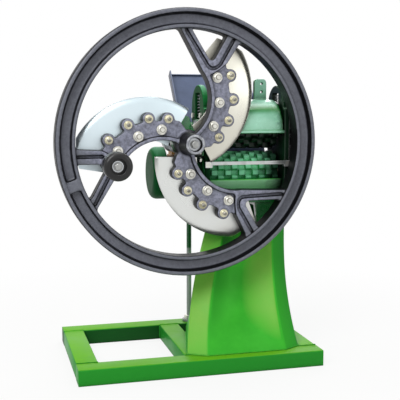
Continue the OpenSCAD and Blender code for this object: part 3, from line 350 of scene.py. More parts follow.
@dataclass(frozen=True)
class CastIron(Finish):
    """Grey iron as it leaves the sand, with painted shade that darkens its side walls and leaves the faces
    across one axis lighter.
    """

    colour: str
    pit: str
    rubbed: str
    # colour of the side walls as painted shade
    side_shade_colour: str
    across: Lay
    # colour, and millimetres from the shaft where it is full and where it ends
    zones: tuple[tuple[str, float, float], ...] = ()
    cloud_mm: float = 45.0
    lump_mm: float = 7.0
    # moulding sand is under 1 mm, drawn at 2.4 mm so that it shows
    sand_mm: float = 2.4

    def build(self) -> Material:
        """Make the iron: sand grain, shallow lumps, darker pits, rubbed edges, and painted shade on the side
        walls and in corners.

        Returns:
            The material.
        """
        material, add, where = self.start()
        cloud = add("TexNoise", {"Vector": where, "Scale": repeats(self.cloud_mm), "Detail": 5.0,
                                 "Roughness": 0.6})
        lumps = add("TexNoise", {"Vector": where, "Scale": repeats(self.lump_mm), "Detail": 3.0})
        sand = add("TexNoise", {"Vector": where, "Scale": repeats(self.sand_mm), "Detail": 3.0,
                                "Roughness": 0.7})
        pits = add("MapRange", {"Value": sand, "From Min": 0.5, "From Max": 0.3, "To Max": 0.7})
        face: Any = linear(self.colour)
        for colour, full_mm, end_mm in self.zones:
            reach = add("MapRange", {"Value": from_shaft(add, where), "From Min": end_mm * MM,
                                     "From Max": full_mm * MM})
            face = add("Mix", {SHARE: reach, BELOW: face, ABOVE: linear(colour)}, data_type="RGBA")
        blend = add("Math", {0: cloud, 1: 0.5, 2: lumps}, operation="MULTIPLY_ADD")
        mottle = add("MapRange", {"Value": blend, "From Min": 0.45, "From Max": 0.9})
        tone = add("Mix", {SHARE: mottle, BELOW: linear(self.pit), ABOVE: face}, data_type="RGBA")
        pitted = add("Mix", {SHARE: pits, BELOW: tone, ABOVE: linear(self.pit)}, data_type="RGBA")
        # painted shade on faces that do not look along the across axis, which also get less gloss
        facing = add("SeparateXYZ", {0: add("NewGeometry").outputs["Normal"]}).outputs[self.across.value]
        steep = add("Math", {0: facing}, operation="ABSOLUTE")
        ragged = add("Math", {0: cloud, 1: 0.3, 2: steep}, operation="MULTIPLY_ADD")
        lit_face_mask = add("MapRange", {"Value": ragged, "From Min": 0.55, "From Max": 1.0})
        side_shaded_colour = add("Mix", {SHARE: lit_face_mask, BELOW: linear(self.side_shade_colour), ABOVE: pitted}, data_type="RGBA")
        rub = self.worn(add, where, width_mm=3.0, patch_mm=16.0, low=0.38, high=0.62)
        rubbed = add("Mix", {SHARE: rub, BELOW: side_shaded_colour, ABOVE: linear(self.rubbed)}, data_type="RGBA")
        coarse = add("Bump", {"Strength": 0.7, "Distance": 0.7 * MM, "Height": lumps})
        # the base colour takes near-black dirt and painted shade in its corners
        surface = add("BsdfPrincipled", {
            "Base Color": self.grimed_and_shaded(add, rubbed, reach_mm=9.0, grime_and_shade="#050506", share=0.95),
            "Specular IOR Level": add("MapRange", {"Value": lit_face_mask, "To Min": 0.1, "To Max": 0.4}),
            "Roughness": add("MapRange", {"Value": cloud, "From Min": 0.3, "From Max": 0.7,
                                          "To Min": 0.34, "To Max": 0.52}),
            "Normal": add("Bump", {"Strength": 0.55, "Distance": 0.35 * MM, "Height": sand, "Normal": coarse})})
        add("OutputMaterial", {"Surface": surface})
        return material


@dataclass(frozen=True)
class BareMetal(Finish):
    """Ground, turned or plated metal with its tool marks."""

    colour: str
    stain: str
    roughness: float
    lay: Lay | None = None
    # tool marks and plating crystals are far under 1 mm, drawn at 1.2 to 1.6 mm so that they show
    mark_mm: float = 1.6
    stain_mm: float = 28.0

    def build(self) -> Material:
        """Make the metal: tool marks along its lay, stains and rubbed edges.

        Returns:
            The material.
        """
        material, add, where = self.start()
        cloud = add("TexNoise", {"Vector": where, "Scale": repeats(self.stain_mm), "Detail": 3.0,
                                 "Roughness": 0.5})
        if self.lay is None:
            marks = add("TexNoise", {"Vector": where, "Scale": repeats(self.mark_mm), "Detail": 2.0})
        else:
            marks = add("TexNoise", {"W": self.along(add, where), "Scale": repeats(self.mark_mm), "Detail": 4.0,
                                     "Roughness": 0.7}, noise_dimensions="1D")
        spots = add("MapRange", {"Value": cloud, "From Min": 0.5, "From Max": 0.74, "To Max": 0.75})
        tone = add("Mix", {SHARE: spots, BELOW: linear(self.colour), ABOVE: linear(self.stain)},
                   data_type="RGBA")
        edge = self.worn(add, where, width_mm=0.8, patch_mm=6.0, low=0.35, high=0.6)
        surface = add("BsdfPrincipled", {
            "Base Color": add("Mix", {SHARE: edge, BELOW: tone, ABOVE: linear("#e9eaea")}, data_type="RGBA"),
            "Roughness": add("MapRange", {"Value": cloud, "From Min": 0.3, "From Max": 0.72,
                                          "To Min": self.roughness - 0.05, "To Max": self.roughness + 0.14}),
            "Normal": add("Bump", {"Strength": 0.3, "Distance": 0.05 * MM, "Height": marks}),
            "Metallic": 1.0})
        add("OutputMaterial", {"Surface": surface})
        return material

    def along(self, add: AddNode, where: NodeSocket) -> Node | NodeSocket:
        """Give the distance along which the tool marks repeat.

        Args:
            add: Adds a node to the material.
            where: Object coordinates.

        Returns:
            Node or socket with the distance in metres.
        """
        if self.lay is Lay.ABOUT_SHAFT:
            return from_shaft(add, where)
        return add("SeparateXYZ", {0: where}).outputs[self.lay.value]


@dataclass(frozen=True)
class MouldedPlastic(Finish):
    """Black moulded plastic, a little polished by the hand."""

    colour: str
    rubbed: str
    polish_mm: float = 22.0
    # spark-eroded grain is under 1 mm, drawn at 1.8 mm so that it shows
    grain_mm: float = 1.8

    def build(self) -> Material:
        """Make the plastic: moulded grain, hand polish and scuffed edges.

        Returns:
            The material.
        """
        material, add, where = self.start()
        polish = add("TexNoise", {"Vector": where, "Scale": repeats(self.polish_mm), "Detail": 3.0})
        grain = add("TexNoise", {"Vector": where, "Scale": repeats(self.grain_mm), "Detail": 2.0})
        scuff = self.worn(add, where, width_mm=1.5, patch_mm=7.0, low=0.45, high=0.62)
        surface = add("BsdfPrincipled", {
            "Base Color": add("Mix", {SHARE: scuff, BELOW: linear(self.colour), ABOVE: linear(self.rubbed)},
                              data_type="RGBA"),
            "Roughness": add("MapRange", {"Value": polish, "From Min": 0.3, "From Max": 0.7,
                                          "To Min": 0.26, "To Max": 0.42}),
            "Normal": add("Bump", {"Strength": 0.3, "Distance": 0.15 * MM, "Height": grain}),
            "Specular IOR Level": 0.45})
        add("OutputMaterial", {"Surface": surface})
        return material


@dataclass(frozen=True)
class Finishes:
    """The built materials of the machine."""

    rail: Material
    sheltered: Material
    plate: Material
    head: Material
    bowl: Material
    teeth: Material
    greased: Material
    shaded: Material
    iron: Material
    gear: Material
    knives: tuple[Material, ...]
    zinc: Material
    dull: Material
    thread: Material
    yellow: Material
    bronze: Material
    plastic: Material
    sheet: Material
    shaft: Material
    roller_shaft: Material
    rod: Material
    shear: Material
    spring: Material

    @classmethod
    def mix(cls) -> "Finishes":
        """Build every finish from what the real one is.

        Returns:
            The built materials.
        """
        # bright alkyd enamel sprayed on folded plate: smooth, wet gloss, with a painted highlight that makes
        # the tops paler and yellower and painted shade on the sides
        sprayed = Enamel(
            "sprayed_green_enamel", "#2f9f31", shade="#27942c", chip="#5d6b58", highlight_colour="#72c01c",
            highlight_share=0.9, lump_mm=40.0, lump_depth_mm=0.25, roughness=0.38, gleam=0.1)
        # a darker enamel, brushed thickly over sand castings: lumpy, glossy, with painted mint highlights on
        # faces turned to the front and to the top, and painted shade on faces turned away, in corners and
        # towards the gears
        brushed = Enamel(
            "brushed_dark_green_enamel", "#1c9038", shade="#083f1c", chip="#3c4a40", highlight_colour="#b4f0d6",
            highlight_share=0.95, lump_mm=9.0, lump_depth_mm=0.7, roughness=0.26, gleam=0.5, coat=0.5,
            suns=((0.0, -0.99, 0.12), (0.0, -0.2, 0.98)), sun_range=(0.84, 0.93),
            grime_and_shade="#04100a", grime_and_shade_mm=16.0, grime_and_shade_share=0.9, gear_shade_mm=(228.0, 256.0))
        return cls(
            rail=sprayed.build(),
            # the sprayed enamel on the rear rail, with painted shade on the side turned to the front
            sheltered=replace(
                sprayed, name="sheltered_green_enamel", shade="#175520",
                suns=((0.0, 0.0, 1.0), (0.0, 0.5, 0.866))).build(),
            # the sprayed enamel on the pedestal's plate, with painted light on the side turned to the left and
            # front and painted shade on the side turned away
            plate=replace(
                sprayed, name="faded_green_enamel", colour="#45c536", shade="#1f9520", highlight_colour="#8fd055",
                highlight_share=0.95, lump_mm=60.0, gleam=0.12, suns=((-0.75, -0.6, 0.2),),
                sun_range=(0.66, 0.9)).build(),
            head=brushed.build(),
            # the brushed enamel on the chin under the rollers, thickly run, in a paler copy as painted light,
            # with a painted highlight on its front and painted shade towards the gears
            bowl=replace(
                brushed, name="run_green_enamel", colour="#59dc4a", shade="#2aa03c", highlight_colour="#b8ffc8",
                highlight_share=1.0, roughness=0.3, gleam=0.25, coat=0.2, suns=((-0.1, -0.8, -0.6),),
                sun_range=(0.7, 0.96), sky_mm=18.0, grime_and_shade_mm=13.0, gear_shade_mm=(205.0, 246.0)).build(),
            # the brushed enamel on the lower roller, in a paler copy with painted highlights on the teeth and
            # painted shade towards the gears
            teeth=replace(
                brushed, name="chalked_green_enamel", colour="#35d266", shade="#12752f", highlight_colour="#9cffc8",
                highlight_share=1.0, roughness=0.34, gleam=0.1, coat=0.05,
                suns=((-0.3, -0.9, 0.0), (-0.2, -0.4, 0.9)), sun_range=(0.55, 0.9), sky_mm=18.0,
                grime_and_shade_mm=13.0, grime_and_shade_share=0.6, gear_shade_mm=(180.0, 228.0)).build(),
            # the brushed enamel on the far cheek and the upper roller, a near-black copy as painted shade
            greased=replace(
                brushed, name="greased_dark_green_enamel", colour="#0c3f1e", shade="#062813", chip="#2c352f",
                highlight_colour="#6db08a", highlight_share=0.4, roughness=0.34, gleam=0.2, coat=0.12,
                suns=((0.0, -0.1, 1.0),), sun_range=(0.75, 0.97), grime_and_shade="#030a06", grime_and_shade_mm=60.0,
                grime_and_shade_share=0.95, gear_shade_mm=None).build(),
            # the brushed enamel on the case and the near cheek, out of the light
            shaded=replace(
                brushed, name="shaded_dark_green_enamel", colour="#1a7a3a", shade="#0a4a22", highlight_colour="#8fd6ae",
                highlight_share=0.6, roughness=0.44, gleam=0.05, coat=0.0, suns=((0.0, -0.1, 1.0),),
                sun_range=(0.6, 0.95), grime_and_shade_mm=45.0, grime_and_shade_share=0.95, gear_shade_mm=None).build(),
            # sand-cast grey iron with bluish grey faces and rubbed edges, its side walls near black as painted
            # shade
            iron=CastIron(
                "graphited_grey_iron", "#72757f", pit="#5f616c", rubbed="#a6a8b4", side_shade_colour="#0d0d0f",
                across=Lay.ALONG_Y, zones=(("#999cb0", 205.0, 255.0), ("#c3c6cc", 23.0, 27.0))).build(),
            # the same iron on the gears, dark with grease, with painted shade on their sides and the end faces
            # palest
            gear=CastIron(
                "greased_gear_iron", "#4d4e55", pit="#2b2c31", rubbed="#85868d", side_shade_colour="#1b1b1f",
                across=Lay.ALONG_X).build(),
            # tool steel ground flat on a cup wheel: pale, with fine arcs, each knife in its own tint
            knives=tuple(
                BareMetal(f"ground_tool_steel_{tint}", clear, spot_tint, 0.27, Lay.ABOUT_SHAFT, 1.3, 150.0).build()
                for tint, clear, spot_tint in (("straw", "#d3d1c5", "#c2bfb2"), ("blue", "#d9e8ee", "#d0dbe0"),
                                          ("grey", "#dcdedb", "#d5d2c8"))),
            # clear zinc plate: silvery, slightly milky
            zinc=BareMetal("clear_zinc_plate", "#d9d8d0", "#9c9b94", 0.33).build(),
            # the same plate, dulled by hands
            dull=BareMetal("dulled_zinc_plate", "#a6a7a5", "#6d6e6c", 0.38).build(),
            # thread ends, dark with oil
            thread=BareMetal("oiled_thread_steel", "#8d8a80", "#56534c", 0.4).build(),
            # yellow passivated zinc: faintly brassy with a dull bloom
            yellow=BareMetal("yellow_zinc_plate", "#dad5ba", "#8f8764", 0.34).build(),
            # leaded bearing bronze, turned
            bronze=BareMetal("turned_bearing_bronze", "#bb8a4e", "#7d5a34", 0.3, Lay.ALONG_X).build(),
            # black nylon
            plastic=MouldedPlastic("moulded_black_nylon", "#0c0c0d", "#2b2b2e").build(),
            # blue-grey stove enamel on sheet: thin and even, with a painted highlight on faces turned right, to
            # the front and up, and painted shade on faces turned away
            sheet=Enamel(
                "stoved_blue_grey_enamel", "#647190", shade="#353d52", chip="#8b8f96", highlight_colour="#8f9ab0",
                highlight_share=0.4, lump_mm=60.0, lump_depth_mm=0.3, roughness=0.36, gleam=0.3, coat=0.1,
                suns=((0.55, -0.5, 0.7),), sun_range=(0.8, 1.0)).build(),
            # bright drawn steel, turned
            shaft=BareMetal("turned_bright_steel", "#bcbfc2", "#8d9094", 0.28, Lay.ALONG_Y).build(),
            roller_shaft=BareMetal("turned_roller_steel", "#b4b7ba", "#85888c", 0.3, Lay.ALONG_X).build(),
            # drawn bar, dipped in the head's green and left bare towards its foot
            rod=Enamel(
                "half_dipped_bar", "#1c6f3a", shade="#165c30", chip="#8b8f8c", highlight_colour="#93dcb8", highlight_share=0.3,
                lump_mm=14.0, lump_depth_mm=0.2, roughness=0.34, gleam=0.3, coat=0.2,
                bare_below_mm=235.0).build(),
            # tool steel, planed along its length
            shear=BareMetal("planed_tool_steel", "#c4c7c6", "#90958f", 0.3, Lay.ALONG_Z, 1.2).build(),
            # patented spring wire, oil-blacked
            spring=BareMetal("oiled_spring_wire", "#7a7d82", "#55575c", 0.34).build(),
        )


def at(x: float, y: float, z: float) -> Vector:
    """Give the row-frame point of millimetres right, behind and above the shaft axis."""
    return SHAFT + Vector((x, y, z)) * MM


def ring(radius: float, degrees: float) -> Flat:
    """Give the flat point at a radius and an angle."""
    return radius * math.cos(math.radians(degrees)), radius * math.sin(math.radians(degrees))


def new_object(name: str, mesh: Mesh) -> Object:
    """Link a new object at the origin.

    Args:
        name: Name of the piece.
        mesh: Its mesh, in the row frame.

    Returns:
        The object.
    """
    mesh.name = name
    made = bpy.data.objects.new(name, mesh)
    bpy.context.scene.collection.objects.link(made)
    return made


def to_mesh(name: str, shape: BMesh, smooth_deg: float | None = None) -> Mesh:
    """Turn a bmesh to a mesh that is smooth all over, or up to an angle.

    Args:
        name: Name of the mesh.
        shape: The bmesh, freed here.
        smooth_deg: Edges sharper than this stay sharp.

    Returns:
        The mesh.
    """
    mesh = bpy.data.meshes.new(name)
    shape.to_mesh(mesh)
    shape.free()
    mesh.shade_smooth()
    if smooth_deg is not None:
        mesh.set_sharp_from_angle(angle=math.radians(smooth_deg))
    return mesh


def from_bmesh(name: str, shape: BMesh, smooth_deg: float = 32.0) -> Object:
    """Turn a bmesh to an object that is smooth up to an angle."""
    return new_object(name, to_mesh(name, shape, smooth_deg))


def bridge(shape: BMesh, rings: Sequence[Sequence[BMVert]]) -> None:
    """Join rings of points by faces and close the open ends.

    Args:
        shape: Bmesh that holds the points.
        rings: The rings in order; a ring of one point is a tip.
    """
    steps = max(len(points) for points in rings)
    for low, high in zip(rings, rings[1:]):
        for k in range(steps):
            corners = [low[k % len(low)], low[(k + 1) % len(low)],
                       high[(k + 1) % len(high)], high[k % len(high)]]
            shape.faces.new(list(dict.fromkeys(corners)))
    for end in (rings[0][::-1], rings[-1]):
        if len(end) > 1:
            shape.faces.new(end)


def baked(source: Object) -> Object:
    """Replace an object by the plain mesh that its modifiers give.

    Args:
        source: Object with live modifiers, removed here.

    Returns:
        The plain object, of the same name.
    """
    name = source.name
    graph = bpy.context.evaluated_depsgraph_get()
    mesh = bpy.data.meshes.new_from_object(source.evaluated_get(graph), depsgraph=graph)
    bpy.data.objects.remove(source)
    return new_object(name, mesh)


def cad_skin(node: str) -> BMesh:
    """Copy a CAD node's loose triangles as one joined skin.

    Args:
        node: CAD node to copy.

    Returns:
        The skin.
    """
    shape = bmesh.new()
    shape.from_mesh(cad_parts[node].data)
    bmesh.ops.remove_doubles(shape, verts=shape.verts, dist=1e-5)
    return shape


def eased(node: str, width_mm: float, segments: int = 2) -> Object:
    """Copy a CAD node with its sharp edges broken, as by a file or a press brake.

    Args:
        node: CAD node to copy.
        width_mm: Width of the broken edge.
        segments: Steps across the edge.

    Returns:
        The eased piece.
    """
    shape = cad_skin(node)
    bmesh.ops.dissolve_limit(shape, angle_limit=math.radians(0.5), verts=shape.verts, edges=shape.edges)
    edges = [e for e in shape.edges if e.is_manifold and e.calc_face_angle(0.0) > math.radians(SHARP_DEG)]
    bmesh.ops.bevel(shape, geom=edges, offset=width_mm * MM, offset_type="OFFSET", segments=segments,
                    profile=0.5, affect="EDGES", clamp_overlap=True)
    return from_bmesh(node + "_eased", shape)


def moulded(node: str, voxel_mm: float, passes: int = 6, keep: float = 0.5) -> Object:
    """Copy a CAD casting with the round edges and fillets of sand moulding.

    Args:
        node: CAD node to copy.
        voxel_mm: Size of the grid that the skin is drawn on.
        passes: Smoothing passes over the skin.
        keep: Share of the triangles kept.

    Returns:
        The moulded piece.
    """
    made = from_bmesh(node + "_cast", cad_skin(node))
    for kind, settings in (
        ("REMESH", {"mode": "VOXEL", "voxel_size": voxel_mm * MM, "use_smooth_shade": True}),
        ("SMOOTH", {"factor": 0.5, "iterations": passes}),
        ("DECIMATE", {"ratio": keep}),
    ):
        modifier = made.modifiers.new(kind.lower(), kind)
        for key, value in settings.items():
            setattr(modifier, key, value)
    return baked(made)


def lathe(name: str, profile: Sequence[Flat], centre: Vector, axis: Vector, steps: int) -> Object:
    """Turn a profile about an axis.

    Args:
        name: Name of the piece.
        profile: Closed loop of radius and distance along the axis, in millimetres.
        centre: Point of the axis where the distance is 0.
        axis: Direction of the axis.
        steps: Sides of the turned form.

    Returns:
        The turned piece.
    """
    shape = bmesh.new()
    points = [shape.verts.new((r * MM, 0.0, d * MM)) for r, d in profile]
    edges = [shape.edges.new(pair) for pair in zip(points, points[1:])]
    bmesh.ops.spin(shape, geom=[*points, *edges], axis=(0, 0, 1), cent=(0, 0, 0),
                   angle=math.tau, steps=steps, use_merge=True)
    bmesh.ops.remove_doubles(shape, verts=shape.verts, dist=1e-6)
    bmesh.ops.recalc_face_normals(shape, faces=shape.faces)
    turn = axis.to_track_quat("Z", "Y").to_matrix().to_4x4()
    bmesh.ops.transform(shape, matrix=Matrix.Translation(centre) @ turn, verts=shape.verts)
    return from_bmesh(name, shape)


def tube(path: Sequence[Vector], radius_mm: float, sides: int, shape: BMesh) -> None:
    """Add a round tube along a path.

    Args:
        path: Points of the middle line.
        radius_mm: Radius of the tube.
        sides: Sides of the tube.
        shape: Bmesh that gets the tube.
    """
    rings = []
    out = Vector((1, 0, 0))
    for i, here in enumerate(path):
        ahead = (path[min(i + 1, len(path) - 1)] - path[max(i - 1, 0)]).normalized()
        out = (out - ahead * out.dot(ahead)).normalized()
        side = ahead.cross(out)
        rings.append([
            shape.verts.new(here + (out * math.cos(a) + side * math.sin(a)) * radius_mm * MM)
            for a in (math.tau * k / sides for k in range(sides))
        ])
    bridge(shape, rings)


def dress(piece: Object, material: Material, body: Body, stands_for: Iterable[str] = ()) -> Object:
    """Give a piece its finish, the body it rides on and the nodes it stands for.

    Args:
        piece: The finished piece.
        material: Its material.
        body: Body that carries it.
        stands_for: CAD nodes that it replaces.

    Returns:
        The same piece.
    """
    piece.data.materials.clear()
    piece.data.materials.append(material)
    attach(piece, body.value)
    nodes = list(stands_for)
    if nodes:
        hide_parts(*nodes)
    LOG.info("%s: %d faces, rides on %s", piece.name, len(piece.data.polygons), body.value)
    return piece


def paint(node: str, material: Material) -> None:
    """Give a CAD node that stays in view its finish.

    Args:
        node: Name of the node.
        material: Its material.
    """
    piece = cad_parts[node]
    piece.data.materials.clear()
    piece.data.materials.append(material)
    LOG.info("%s: CAD node with %s", node, material.name)


@dataclass(frozen=True)
class Fastener:
    """One bolt head or nut with its washer and thread end; lengths in millimetres along +Z."""

    across: float
    height: float
    washer_r: float = 0.0
    washer_t: float = 0.0
    stud_r: float = 0.0
    stud_l: float = 0.0
    washer_edge: Flat = (0.5, 0.4)
    pitch: float = 1.5
    crest: float = 0.5
    flank: float = 1.0
    depth: float = 0.8
    lead: Flat = (0.3, 1.5)
    lead_l: float = 1.2
    sides: int = 24
    crown: float = 0.94
    smooth_deg: float = 28.0

    def mesh(self) -> Mesh:
        """Build the head with a turned chamfer, a round washer and a threaded end.

        Returns:
            The mesh, its seat at the origin.
        """
        shape = bmesh.new()
        if self.washer_r:
            inward, down = self.washer_edge
            self.turned(shape, [(0, 0), (self.washer_r, 0), (self.washer_r, self.washer_t - down),
                                (self.washer_r - inward, self.washer_t), (0, self.washer_t)])
        if self.across:
            self.head(shape)
        if self.stud_l:
            self.turned(shape, self.thread())
        return to_mesh("fastener", shape, self.smooth_deg)

    def thread(self) -> list[Flat]:
        """Give the section of the thread's end, which starts 1 mm inside the head.

        Returns:
            Radius and height, from axis to axis.
        """
        foot = self.washer_t + self.height - 1
        turns = int(self.stud_l / self.pitch)
        profile = [(0, foot)]
        for i in range(turns):
            base = foot + self.pitch * i
            profile += [(self.stud_r, base), (self.stud_r, base + self.crest),
                        (self.stud_r - self.depth, base + self.flank)]
        end = foot + self.pitch * turns
        tip = end + self.lead_l
        return [*profile, (self.stud_r - self.lead[0], end), (self.stud_r - self.lead[1], tip), (0, tip)]

    def head(self, shape: BMesh) -> None:
        """Add the hexagon, its top corners turned off by a chamfer.

        Args:
            shape: Bmesh that gets the head.
        """
        flat_r = self.across / 2
        crown_r = flat_r * self.crown
        levels: list[list[BMVert]] = [[], [], []]
        for i in range(self.sides):
            angle = 360 // self.sides * i
            reach = flat_r / math.cos(math.radians((angle + 30) % 60 - 30))
            drop = (reach - crown_r) * math.tan(math.radians(30))
            steps = ((reach, 0.0), (reach, self.height - drop), (crown_r, self.height))
            for level, (r, z) in zip(levels, steps):
                level.append(shape.verts.new((*(c * MM for c in ring(r, angle)), (self.washer_t + z) * MM)))
        bridge(shape, levels)

    @staticmethod
    def turned(shape: BMesh, profile: Sequence[Flat]) -> None:
        """Add a turned form about +Z.

        Args:
            shape: Bmesh that gets the form.
            profile: Radius and height, from axis to axis.
        """
        angles = [360 * k / TURNED_SIDES for k in range(TURNED_SIDES)]
        bridge(shape, [
            [shape.verts.new((*(c * MM for c in ring(r, angle)), z * MM)) for angle in angles]
            if r else [shape.verts.new((0, 0, z * MM))]
            for r, z in profile
        ])


@dataclass
class Repeater:
    """Geometry Nodes tree that sets one small form at many places."""

    tree: NodeTree | None = None
    # tightened heads stop at any angle: a fixed golden-ratio step, in radians, stands for that
    step: float = 2.4
    first: float = 0.3

    def grow(self) -> NodeTree:
        """Build the tree once: places, form, size and finish go in, plain geometry comes out.

        Returns:
            The tree.
        """
        if self.tree is not None:
            return self.tree
        tree = bpy.data.node_groups.new("repeat_at_places", "GeometryNodeTree")
        for name, kind in (("Places", "Geometry"), ("Form", "Object"), ("Size", "Float"),
                           ("Finish", "Material")):
            tree.interface.new_socket(name, in_out="INPUT", socket_type="NodeSocket" + kind)
        tree.interface.new_socket("Result", in_out="OUTPUT", socket_type="NodeSocketGeometry")
        add = partial(add_node, tree)
        given = add("NodeGroupInput").outputs
        axis, spin, grow = (
            add("GeometryNodeInputNamedAttribute", {"Name": name}, data_type=kind)
            for name, kind in (("axis", "FLOAT_VECTOR"), ("spin", "FLOAT"), ("grow", "FLOAT")))
        stand = add("FunctionNodeAlignRotationToVector", {"Vector": axis}, axis="Z")
        about = add("FunctionNodeAxisAngleToRotation", {"Axis": UP, "Angle": spin})
        turn = add("FunctionNodeRotateRotation", {"Rotation": stand, "Rotate By": about},
                   rotation_space="LOCAL")
        form = add("GeometryNodeObjectInfo", {"Object": given["Form"]}).outputs["Geometry"]
        size = add("Math", {0: grow, 1: given["Size"]}, operation="MULTIPLY")
        spots = add("GeometryNodeInstanceOnPoints",
                    {"Points": given["Places"], "Instance": form, "Rotation": turn, "Scale": size})
        real = add("GeometryNodeRealizeInstances", {"Geometry": spots})
        coat = add("GeometryNodeSetMaterial", {"Geometry": real, "Material": given["Finish"]})
        add("NodeGroupOutput", {"Result": coat})
        self.tree = tree
        return tree

    def set_out(self, name: str, form: Mesh, places: Sequence[Place], material: Material,
                size: float = 1.0) -> Object:
        """Set a form at every place and turn the result to a plain mesh.

        Args:
            name: Name of the piece.
            form: Mesh of one form, standing on the origin along +Z.
            places: Foot, direction and share of the size of each form.
            material: Finish of the piece.
            size: Size of all forms.

        Returns:
            The plain piece.
        """
        spots = bpy.data.meshes.new(name)
        spots.from_pydata([foot for foot, _, _ in places], [], [])
        for key, kind, field, values in (
            ("axis", "FLOAT_VECTOR", "vector", [c for _, direction, _ in places for c in direction]),
            ("spin", "FLOAT", "value", [self.step * i + self.first for i in range(len(places))]),
            ("grow", "FLOAT", "value", [share for _, _, share in places]),
        ):
            spots.attributes.new(key, kind, "POINT").data.foreach_set(field, values)
        carrier = new_object(name, spots)
        model = new_object(name + "_form", form)
        modifier = carrier.modifiers.new("repeat", "NODES")
        modifier.node_group = self.grow()
        inputs = {s.name: s.identifier for s in modifier.node_group.interface.items_tree if s.in_out == "INPUT"}
        for key, value in (("Form", model), ("Size", size), ("Finish", material)):
            modifier[inputs[key]] = value
        made = baked(carrier)
        bpy.data.objects.remove(model)
        return made


REPEAT = Repeater()


def fasten(name: str, form: Fastener, places: Sequence[Place], metal: Material, body: Body,
           stands_for: Iterable[str] = ()) -> None:
    """Set a fastener at every place and dress the result as one piece."""
    dress(REPEAT.set_out(name, form.mesh(), places, metal), metal, body, stands_for)


@dataclass(frozen=True)
class WeldBead:
    """Weld laid by hand: flattened ripples that swell and shrink along it."""

    ripple_mm: float = 3.4
    step_mm: float = 3.2
    flat: float = 0.55
    uneven: float = 0.12

    def swell(self, i: int, pace: float = 7.3) -> float:
        """Give one ripple's share of the size."""
        return 1 + self.uneven * math.sin(pace * i)

    def lay(self, name: str, places: Sequence[Place], material: Material) -> None:
        """Lay a ripple at every place and dress the bead as part of the frame.

        Args:
            name: Name of the bead.
            places: Foot, direction and share of the size of each ripple.
            material: Paint over the weld.
        """
        shape = bmesh.new()
        bmesh.ops.create_icosphere(shape, subdivisions=2, radius=self.ripple_mm * MM)
        bmesh.ops.scale(shape, vec=(1, 1, self.flat), verts=shape.verts)
        bead = REPEAT.set_out(name, to_mesh("ripple", shape), places, material)
        dress(bead, material, Body.FRAME)


@dataclass
class BaseFrame:
    """Welded base of square tube."""

    finish: Finishes
    corner_mm: float = 3.0
    end_mm: float = 0.6
    smooth_deg: float = 40.0
    weld: WeldBead = WeldBead()
    weld_sink_mm: float = 0.7
    upright_steps: int = 12
    upright_pace: float = 5.1
    # a side is welded if a point just outside it lies within the base, whose half width this is
    open_x: float = 0.29
    outside_m: float = 0.02

    def build(self) -> None:
        """Build the rails and the weld beads at their joints."""
        for node in RAILS:
            # the rear rail takes the copy with painted shade on its front
            coat = self.finish.sheltered if node == "base_rear_rail" else self.finish.rail
            dress(self.rail(node), coat, Body.FRAME, [node])
        self.weld.lay("rail_weld_beads", self.joints(), self.finish.rail)

    def rail(self, node: str) -> Object:
        """Build one rail with rolled corners.

        Args:
            node: CAD node of the rail.

        Returns:
            The rail.
        """
        low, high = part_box(node)
        shape = bmesh.new()
        bmesh.ops.create_cube(shape, size=1.0)
        long = 0 if (high - low).x > (high - low).y else 1
        for vert in shape.verts:
            vert.co = Vector(high[i] if vert.co[i] > 0 else low[i] for i in range(3))
        along = [e for e in shape.edges if abs((e.verts[0].co - e.verts[1].co)[long]) > 1e-4]
        bmesh.ops.bevel(shape, geom=along, offset=self.corner_mm * MM, segments=4, profile=0.5, affect="EDGES")
        ends = [e for e in shape.edges if e.calc_face_angle(0.0) > math.radians(60)]
        bmesh.ops.bevel(shape, geom=ends, offset=self.end_mm * MM, segments=2, profile=0.5, affect="EDGES")
        return from_bmesh(node + "_tube", shape, self.smooth_deg)

    def joints(self) -> list[Place]:
        """Find the ripples along every joint of the rails, across the top and down the open sides.

        Returns:
            Foot, direction and size share of each ripple.
        """
        places = []
        for side in ("left", "middle", "right"):
            low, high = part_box(f"base_{side}_rail")
            for y, out in ((low.y, -1), (high.y, 1)):
                lean = Vector((0, -out, 1)).normalized()
                count = int((high.x - low.x) / (self.weld.step_mm * MM))
                for i in range(1, count):
                    spot = Vector((low.x + (high.x - low.x) * i / count, y, high.z - self.weld_sink_mm * MM))
                    places.append((spot, lean, self.weld.swell(i)))
                for x, side_out in ((low.x, -1), (high.x, 1)):
                    if not -self.open_x < x + self.outside_m * side_out < self.open_x:
                        continue
                    edge = Vector((side_out, -out, 0)).normalized()
                    for i in range(2, self.upright_steps - 1):
                        spot = Vector((x, y, high.z * i / self.upright_steps))
                        places.append((spot, edge, self.weld.swell(i, self.upright_pace)))
        return places


